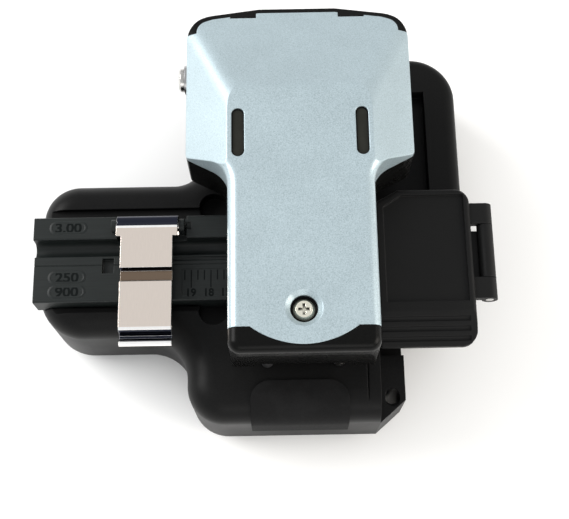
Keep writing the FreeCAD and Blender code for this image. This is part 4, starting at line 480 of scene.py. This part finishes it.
# ---- marks on the fibre adapter
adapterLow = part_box("fibre_adapter")[0]
adapterMarks = {
    "flatHeight": 5.5 * mm,
    "railHeight": 7.5 * mm,
    "padWidth": 7.6 * mm,
    "padHeight": 2.8 * mm,
    "padLift": 0.07 * mm,
    "padSlope": 0.40 * mm,
    "rim": 0.10 * mm,
    "wall": 0.08 * mm,
    "floorLift": 0.02 * mm,
    "figureHeight": 2.0 * mm,
    "figureDepth": 0.03 * mm,
    "figureWeight": 0.06 * mm,
    "figureStretch": 1.12,
    "figures": (("3.00", 6.9, 14.75, "railHeight"), ("250", 6.6, 5.1, "flatHeight"),
                ("900", 6.65, 2.1, "flatHeight")),
}
figureFinish = makeMattMark()


def dishedPad(width, height):
    # a slot outline with a gentle outer bank, a fine crest and a steep wall down to a sunk floor
    look = adapterMarks
    rings = []
    grid = bmesh.new()
    crest = look["padSlope"] + look["rim"]
    steps = ((0.0, -look["padLift"]), (0.0, 0.0), (look["padSlope"], look["padLift"]),
             (crest, look["padLift"]), (crest + look["wall"], look["floorLift"]))
    for inset, lift in steps:
        outline = stadiumRing(width - 2 * inset, height - 2 * inset)
        rings.append([grid.verts.new((u, v, lift)) for u, v in outline])
    joinRings(grid, rings, closed=False)
    grid.faces.new(rings[-1])
    grid.faces.new(list(reversed(rings[0])))
    return gridMesh("dishedPad", grid)


padParts = []
figureParts = []
for words, fromLeft, fromFront, heightName in adapterMarks["figures"]:
    spot = (adapterLow[0] + fromLeft * mm, adapterLow[1] + fromFront * mm)
    markTop = adapterLow[2] + adapterMarks[heightName]
    padParts.append(placed(dishedPad(adapterMarks["padWidth"], adapterMarks["padHeight"]), *spot, markTop))
    figure = letterMesh(words, adapterMarks["figureHeight"], adapterMarks["figureDepth"],
                        adapterMarks["figureWeight"], adapterMarks["figureStretch"])
    figureParts.append(placed(figure, *spot, markTop + adapterMarks["floorLift"]))
meshPiece("adapterSizePads", mergeMeshes("adapterSizePads", padParts), "base",
          finishes["dark_aluminium"])
meshPiece("adapterSizeFigures", mergeMeshes("adapterSizeFigures", figureParts), "base",
          figureFinish)

adapterRule = {
    "left": 29.25 * mm,
    "right": 42.9 * mm,
    "front": 0.75 * mm,
    "rear": 6.55 * mm,
    "firstTick": 29.92 * mm,
    "pitch": 1.29 * mm,
    "ticks": 10,
    "longTicks": (1, 4, 7),
    "tickRear": 6.2 * mm,
    "shortTick": 2.1 * mm,
    "longTick": 3.7 * mm,
    "tickWidth": 0.30 * mm,
    "panelLift": 0.05 * mm,
    "panelSlope": 0.16 * mm,
    "tickLift": 0.02 * mm,
    "tickSlope": 0.3,
    "figures": (("19", 31.3), ("18", 34.8), ("17", 38.2), ("16", 41.6)),
    "figureFromFront": 1.56 * mm,
    "figureHeight": 1.55 * mm,
    "figureDepth": 0.03 * mm,
    "figureWeight": 0.05 * mm,
}
adapterTop = adapterLow[2] + adapterMarks["flatHeight"]


def lowBlock(grid, low, high, bottom, top, slope):
    # a low block whose top is drawn in by the slope
    foot = [(low[0], low[1]), (high[0], low[1]), (high[0], high[1]), (low[0], high[1])]
    crown = [(low[0] + slope, low[1] + slope), (high[0] - slope, low[1] + slope),
             (high[0] - slope, high[1] - slope), (low[0] + slope, high[1] - slope)]
    lower = [grid.verts.new((u, v, bottom)) for u, v in foot]
    upper = [grid.verts.new((u, v, top)) for u, v in crown]
    for side in range(4):
        grid.faces.new((lower[side], lower[(side + 1) % 4], upper[(side + 1) % 4], upper[side]))
    grid.faces.new(upper)
    grid.faces.new(list(reversed(lower)))


def rulePanel():
    look = adapterRule
    grid = bmesh.new()
    lowBlock(grid, (adapterLow[0] + look["left"], adapterLow[1] + look["front"]),
             (adapterLow[0] + look["right"], adapterLow[1] + look["rear"]),
             adapterTop - look["panelLift"], adapterTop + look["panelLift"], look["panelSlope"])
    return gridMesh("adapterRulePanel", grid)


def ruleTicks():
    look = adapterRule
    grid = bmesh.new()
    for index in range(look["ticks"]):
        x = adapterLow[0] + look["firstTick"] + index * look["pitch"]
        rear = adapterLow[1] + look["tickRear"]
        length = look["longTick"] if index in look["longTicks"] else look["shortTick"]
        half = look["tickWidth"] / 2
        lowBlock(grid, (x - half, rear - length), (x + half, rear), adapterTop,
                 adapterTop + look["panelLift"] + look["tickLift"], half * look["tickSlope"])
    return gridMesh("adapterRuleTicks", grid)


meshPiece("adapterRulePanel", rulePanel(), "base", finishes["dark_aluminium"])
meshPiece("adapterRuleTicks", ruleTicks(), "base", figureFinish)
ruleFigures = []
ruleY, ruleZ = adapterLow[1] + adapterRule["figureFromFront"], adapterTop + adapterRule["panelLift"]
for words, fromLeft in adapterRule["figures"]:
    figure = letterMesh(words, adapterRule["figureHeight"], adapterRule["figureDepth"],
                        adapterRule["figureWeight"])
    ruleFigures.append(placed(figure, adapterLow[0] + fromLeft * mm, ruleY, ruleZ))
meshPiece("adapterRuleFigures", mergeMeshes("adapterRuleFigures", ruleFigures), "base",
          figureFinish)
print("adapter marks made")


# ---- adapter clamp: a bright pressed sheet rolled round its pin, with its rubber
clampLow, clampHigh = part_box("clamp_lid")
clampHinge = next(joint for joint in frame["joints"] if joint["name"] == "clamp_hinge")
axisY, axisZ = clampHinge["pos_m"][1:]
clampSheet = {
    "rollRadius": 2.0 * mm,
    "thick": 0.8 * mm,
    "ear": 0.95 * mm,
    "earFront": -2.8,
    "edge": 0.20 * mm,
    "edgeDegrees": 38,
    "skin": 0.06 * mm,
    "rollDegrees": (-140, 230),
    "rollSteps": 24,
    # tints of the plate copies: a painted dark reflection, a painted warm reflection and a painted highlight
    "paintedDarkReflection": (0.026, 0.029, 0.044),
    "paintedWarmReflection": (0.20, 0.145, 0.105),
    "paintedHighlight": (1.0, 0.99, 0.97),
    "paintedHighlightRoughness": (0.28, 0.36),
    # forward and up from the pin in millimetres: the top face from behind the pin to the lip, then a flange
    "top": ((-0.7, 2.4), (-1.15, 2.4), (-2.8, 2.4), (-9.3, 2.4), (-9.75, 1.3), (-11.7, 1.3), (-12.15, 2.4),
            (-21.2, 2.4), (-21.75, 2.15), (-22.0, 1.6), (-22.15, 0.8), (-22.5, 0.3), (-23.0, 0.25),
            (-23.45, 0.65), (-23.75, 1.05), (-24.35, 1.2)),
    "flange": ((-20.6, -0.8), (-3.4, -0.8), (-2.9, 0.0), (-2.9, 1.7), (-9.2, 1.7), (-9.9, 0.7), (-11.6, 0.7),
               (-12.2, 1.7), (-20.6, 1.7)),
    # where the bands of painted dark reflection and painted highlight begin and end, forward of the pin
    "rollEnd": -0.68,
    "rearRidge": -1.15,
    "channel": (-12.1, -9.3),
    "channelStep": -10.0,
    "frontRidge": (-21.7, -21.3),
    "lipBar": -23.5,
    # the least a face looks upwards to take a painted reflection, in the channel and in the dip before the lip
    "channelLean": 0.1,
    "dipLean": -0.2,
}
darkReflectionSlot, warmReflectionSlot, highlightSlot = 1, 2, 3


def fromPin(points):
    # places stated from the pin, in metres and in the part's own frame
    return [(axisY + u * mm, axisZ + v * mm) for u, v in points]


def offsetLine(points, thick):
    # the same line moved in by the sheet's thickness, below its top face
    moved = []
    for index, spot in enumerate(points):
        before = points[max(0, index - 1)]
        after = points[min(len(points) - 1, index + 1)]
        along = Vector((after[0] - before[0], after[1] - before[1])).normalized()
        moved.append((spot[0] - along.y * thick, spot[1] + along.x * thick))
    return moved


def extruded(grid, outline, left, right):
    # a closed (y, z) outline drawn out between two X values
    first = [grid.verts.new((left, u, v)) for u, v in outline]
    second = [grid.verts.new((right, u, v)) for u, v in outline]
    count = len(outline)
    for index in range(count):
        grid.faces.new((first[index], first[(index + 1) % count], second[(index + 1) % count], second[index]))
    grid.faces.new(first)
    grid.faces.new(list(reversed(second)))


def rolledLine(look):
    # outer and inner lines of the sheet: curled round the pin, over the top and down to the lip
    outer, inner = [], []
    start, sweep = look["rollDegrees"]
    for step in range(look["rollSteps"] + 1):
        angle = math.radians(start + step * sweep / look["rollSteps"])
        for line, radius in ((outer, look["rollRadius"]), (inner, look["rollRadius"] - look["thick"])):
            line.append((axisY + radius * math.cos(angle), axisZ + radius * math.sin(angle)))
    top = fromPin(look["top"])
    return outer + top, inner + offsetLine(top, look["thick"])


def sheetMesh():
    # one closed skin: three columns of faces as far as the ears reach, and only the middle one beyond
    look = clampSheet
    outer, inner = rolledLine(look)
    columns = (clampLow[0], clampLow[0] + look["ear"], clampHigh[0] - look["ear"], clampHigh[0])
    earEnd = axisY + (look["earFront"] - 0.01) * mm  # a hair past the station where the ears stop
    lastEar = [index for index, spot in enumerate(outer) if spot[0] > earEnd][-1]
    grid = bmesh.new()
    made = {}

    def corner(station, column, side):
        key = (station, column, side)
        if key not in made:
            line = outer if side else inner
            made[key] = grid.verts.new((columns[column], *line[station]))
        return made[key]

    def filled(station, column):
        return 0 <= station < len(outer) - 1 and 0 <= column < 3 and (column == 1 or station < lastEar)

    for station in range(len(outer) - 1):
        for column in range(3):
            if not filled(station, column):
                continue
            for side in (0, 1):
                grid.faces.new([corner(station, column, side), corner(station, column + 1, side),
                                corner(station + 1, column + 1, side), corner(station + 1, column, side)])
            for edge, neighbour in ((column, column - 1), (column + 1, column + 1)):
                if not filled(station, neighbour):
                    grid.faces.new([corner(station, edge, 0), corner(station + 1, edge, 0),
                                    corner(station + 1, edge, 1), corner(station, edge, 1)])
            for end, neighbour in ((station, station - 1), (station + 1, station + 1)):
                if not filled(neighbour, column):
                    grid.faces.new([corner(end, column, 0), corner(end, column + 1, 0),
                                    corner(end, column + 1, 1), corner(end, column, 1)])
    flange = fromPin(look["flange"])
    extruded(grid, flange, columns[1] + look["skin"], columns[1] + look["thick"])
    extruded(grid, flange, columns[2] - look["thick"], columns[2] - look["skin"])
    return gridMesh("clampSheet", grid)


def paintClampReflections(mesh):
    # painted reflections and highlights chosen by place and facing: dark plate in the roll, the channel and the
    # dip before the lip, warm plate on the front part of the channel, near-white plate on the ridges and the lip
    # bar
    look = clampSheet
    ridgeStart, ridgeEnd = look["frontRidge"]
    channelStart, channelEnd = look["channel"]
    for face in mesh.polygons:
        y, lean = (face.center.y - axisY) / mm, face.normal.z
        if y > look["rollEnd"]:
            face.material_index = darkReflectionSlot
        elif y > look["rearRidge"] or ridgeStart < y < ridgeEnd or y < look["lipBar"]:
            face.material_index = highlightSlot
        elif channelStart < y < channelEnd and lean > look["channelLean"]:
            face.material_index = warmReflectionSlot if y < look["channelStep"] else darkReflectionSlot
        elif y < ridgeStart and lean > look["dipLean"]:
            face.material_index = darkReflectionSlot


clampPiece = meshPiece("clampSheet", sheetMesh(), "adapter_clamp", finishes["clamp_chrome"])
# copies of the plate with a painted dark reflection, a painted warm reflection and a painted highlight
clampPiece.data.materials.append(makePlated("clampPaintedDarkReflection", clampSheet["paintedDarkReflection"]))
clampPiece.data.materials.append(makePlated("clampPaintedWarmReflection", clampSheet["paintedWarmReflection"]))
clampPiece.data.materials.append(makePlated("clampPaintedHighlight", clampSheet["paintedHighlight"],
                                            clampSheet["paintedHighlightRoughness"]))
paintClampReflections(clampPiece.data)
clampEdge = roundEdges(clampPiece, "roundedEdge", clampSheet["edge"], clampSheet["edgeDegrees"])
# the rounded edges take the painted highlight
clampEdge.material = highlightSlot
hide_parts("clamp_lid")

rubberPad = {
    # forward and up from the pin in millimetres, with the recess that clears the channel
    "outline": ((-19.0, -1.9), (-3.2, -1.9), (-3.2, 1.65), (-8.9, 1.65), (-8.9, 0.2), (-12.5, 0.2),
                (-12.5, 1.65), (-19.0, 1.65)),
    "side": 1.0 * mm,
    "edge": 0.3 * mm,
}


def rubberMesh():
    grid = bmesh.new()
    inset = clampSheet["ear"] + rubberPad["side"]
    extruded(grid, fromPin(rubberPad["outline"]), clampLow[0] + inset, clampHigh[0] - inset)
    return gridMesh("clampRubberPad", grid)


rubberPiece = meshPiece("clampRubberPad", rubberMesh(), "adapter_clamp",
                        finishes["rubber_pads"])
roundEdges(rubberPiece, "mouldedEdge", rubberPad["edge"])
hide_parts("clamp_rubber")
print("adapter clamp made")


# ---- a black ring round the arm's screw: a painted shadow for the shade in the gap between head and cover
screwLow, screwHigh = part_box("arm_screw")
paintedScrewShade = {
    "inner": 2.14 * mm,
    "outer": 2.47 * mm,
    "height": 0.5 * mm,
    "drop": 0.55 * mm,
    "segments": 48,
}


def ringMesh(look, centre, topZ):
    grid = bmesh.new()
    turns = [2 * math.pi * step / look["segments"] for step in range(look["segments"])]
    rings = []
    inner, outer, lowZ = look["inner"], look["outer"], topZ - look["height"]
    for radius, z in ((inner, lowZ), (inner, topZ), (outer, topZ), (outer, lowZ)):
        spots = [(radius * math.cos(turn), radius * math.sin(turn)) for turn in turns]
        rings.append([grid.verts.new((centre[0] + u, centre[1] + v, z)) for u, v in spots])
    joinRings(grid, rings)
    return gridMesh("screwShadowRing", grid)


screwCentre = ((screwLow[0] + screwHigh[0]) / 2, (screwLow[1] + screwHigh[1]) / 2)
shadowRingMade = ringMesh(paintedScrewShade, screwCentre, screwHigh[2] - paintedScrewShade["drop"])
meshPiece("screwShadowRing", shadowRingMade, "arm", finishes["black_arm"])


# ---- the black seals round the two slot inserts
insertLow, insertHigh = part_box("slot_inserts")
slotSeal = {
    "width": 2.3 * mm,
    "seal": 0.22 * mm,
    "proud": 0.08 * mm,
    "sunk": 0.5 * mm,
    "dome": (0.3, 0.8),
}


def sealMesh(look, length):
    # an upright ring with a domed top, its long way along Y
    grid = bmesh.new()
    rings = []
    domeOuter, domeInner = (look["seal"] * share for share in look["dome"])
    for inset, lift in ((0.0, -look["sunk"]), (0.0, 0.0), (domeOuter, look["proud"]),
                        (domeInner, look["proud"]), (look["seal"], 0.0), (look["seal"], -look["sunk"])):
        outline = stadiumRing(length - 2 * inset, look["width"] - 2 * inset)
        rings.append([grid.verts.new((-v, u, lift)) for u, v in outline])
    joinRings(grid, rings)
    return gridMesh("seal", grid)


insertMiddle = ((insertLow[0] + insertHigh[0]) / 2, (insertLow[1] + insertHigh[1]) / 2)
insertSpread = (insertHigh[0] - insertLow[0] - slotSeal["width"]) / 2
seals = [placed(sealMesh(slotSeal, insertHigh[1] - insertLow[1]), insertMiddle[0] + side * insertSpread,
                insertMiddle[1], insertHigh[2]) for side in (-1, 1)]
meshPiece("slotSeals", mergeMeshes("slotSeals", seals), "arm", finishes["black_arm"])
print("screw ring and slot seals made")


# ---- studio: pale floor, soft light, and the camera over the front edge
studio = {
    "floorTint": (0.90, 0.90, 0.895),
    "floorRadius": 1.6,
    "floorRoughness": 0.75,
    "floorSheen": 0.2,
    "worldTint": (0.97, 0.985, 1.0),
    "worldStrength": 0.80,
    # name, place, aim, size, power and tint
    "lights": (
        ("keyFromLeft", (-0.55, 0.22, 0.42), (0, 0, 0.02), (0.5, 0.4), 5.3, (1.0, 0.99, 0.98)),
        ("fillFromFront", (0.10, -0.55, 0.30), (0, -0.01, 0.02), (0.5, 0.25), 0.9, (1.0, 0.98, 0.95)),
        ("fillFromRight", (0.50, -0.12, 0.24), (0.01, 0, 0.02), (0.4, 0.3), 2.3, (1.0, 0.94, 0.86)),
    ),
}


def makeFloor():
    grid = bmesh.new()
    bmesh.ops.create_circle(grid, cap_ends=True, radius=studio["floorRadius"], segments=96)
    mesh = bpy.data.meshes.new("studioFloor")
    grid.to_mesh(mesh)
    grid.free()
    material, tree, shader = newMaterial("paleFloor")
    shader.inputs["Base Color"].default_value = (*studio["floorTint"], 1.0)
    shader.inputs["Roughness"].default_value = studio["floorRoughness"]
    shader.inputs["Specular IOR Level"].default_value = studio["floorSheen"]
    mesh.materials.append(material)
    floor = bpy.data.objects.new("studioFloor", mesh)
    scene.collection.objects.link(floor)


def softLight(name, place, aim, size, power, tint):
    lamp = bpy.data.lights.new(name, "AREA")
    lamp.shape = "RECTANGLE"
    lamp.size, lamp.size_y = size
    lamp.energy = power
    lamp.color = tint
    holder = bpy.data.objects.new(name, lamp)
    holder.location = place
    holder.rotation_euler = (Vector(aim) - Vector(place)).to_track_quat("-Z", "Y").to_euler()
    scene.collection.objects.link(holder)


makeFloor()
world = bpy.data.worlds.new("paleRoom")
world.use_nodes = True
backdrop = world.node_tree.nodes["Background"]
backdrop.inputs["Color"].default_value = (*studio["worldTint"], 1.0)
backdrop.inputs["Strength"].default_value = studio["worldStrength"]
scene.world = world
for light in studio["lights"]:
    softLight(*light)

cameraView = {
    "place": (3.667 * mm, -76.236 * mm, 233.663 * mm),
    "downDegrees": 72.0,
    "rollDegrees": 1.0,
    "lens": 69.6,
    "sensor": 36.0,
    "near": 0.01,
    "far": 20.0,
}


def makeCamera():
    lens = bpy.data.cameras.new("mainCamera")
    lens.lens = cameraView["lens"]
    lens.sensor_width = cameraView["sensor"]
    lens.sensor_fit = "HORIZONTAL"
    lens.clip_start = cameraView["near"]
    lens.clip_end = cameraView["far"]
    down = math.radians(cameraView["downDegrees"])
    roll = math.radians(cameraView["rollDegrees"])
    ahead = Vector((0, math.cos(down), -math.sin(down)))
    levelRight = Vector((1, 0, 0))
    levelUp = levelRight.cross(ahead)
    right = math.cos(roll) * levelRight - math.sin(roll) * levelUp
    up = math.sin(roll) * levelRight + math.cos(roll) * levelUp
    turn = Matrix((right, up, -ahead)).transposed().to_4x4()
    camera = bpy.data.objects.new("mainCamera", lens)
    camera.matrix_world = Matrix.Translation(cameraView["place"]) @ turn
    scene.collection.objects.link(camera)
    scene.camera = camera


makeCamera()
scene.view_settings.view_transform = "Standard"
print("studio and camera ready")
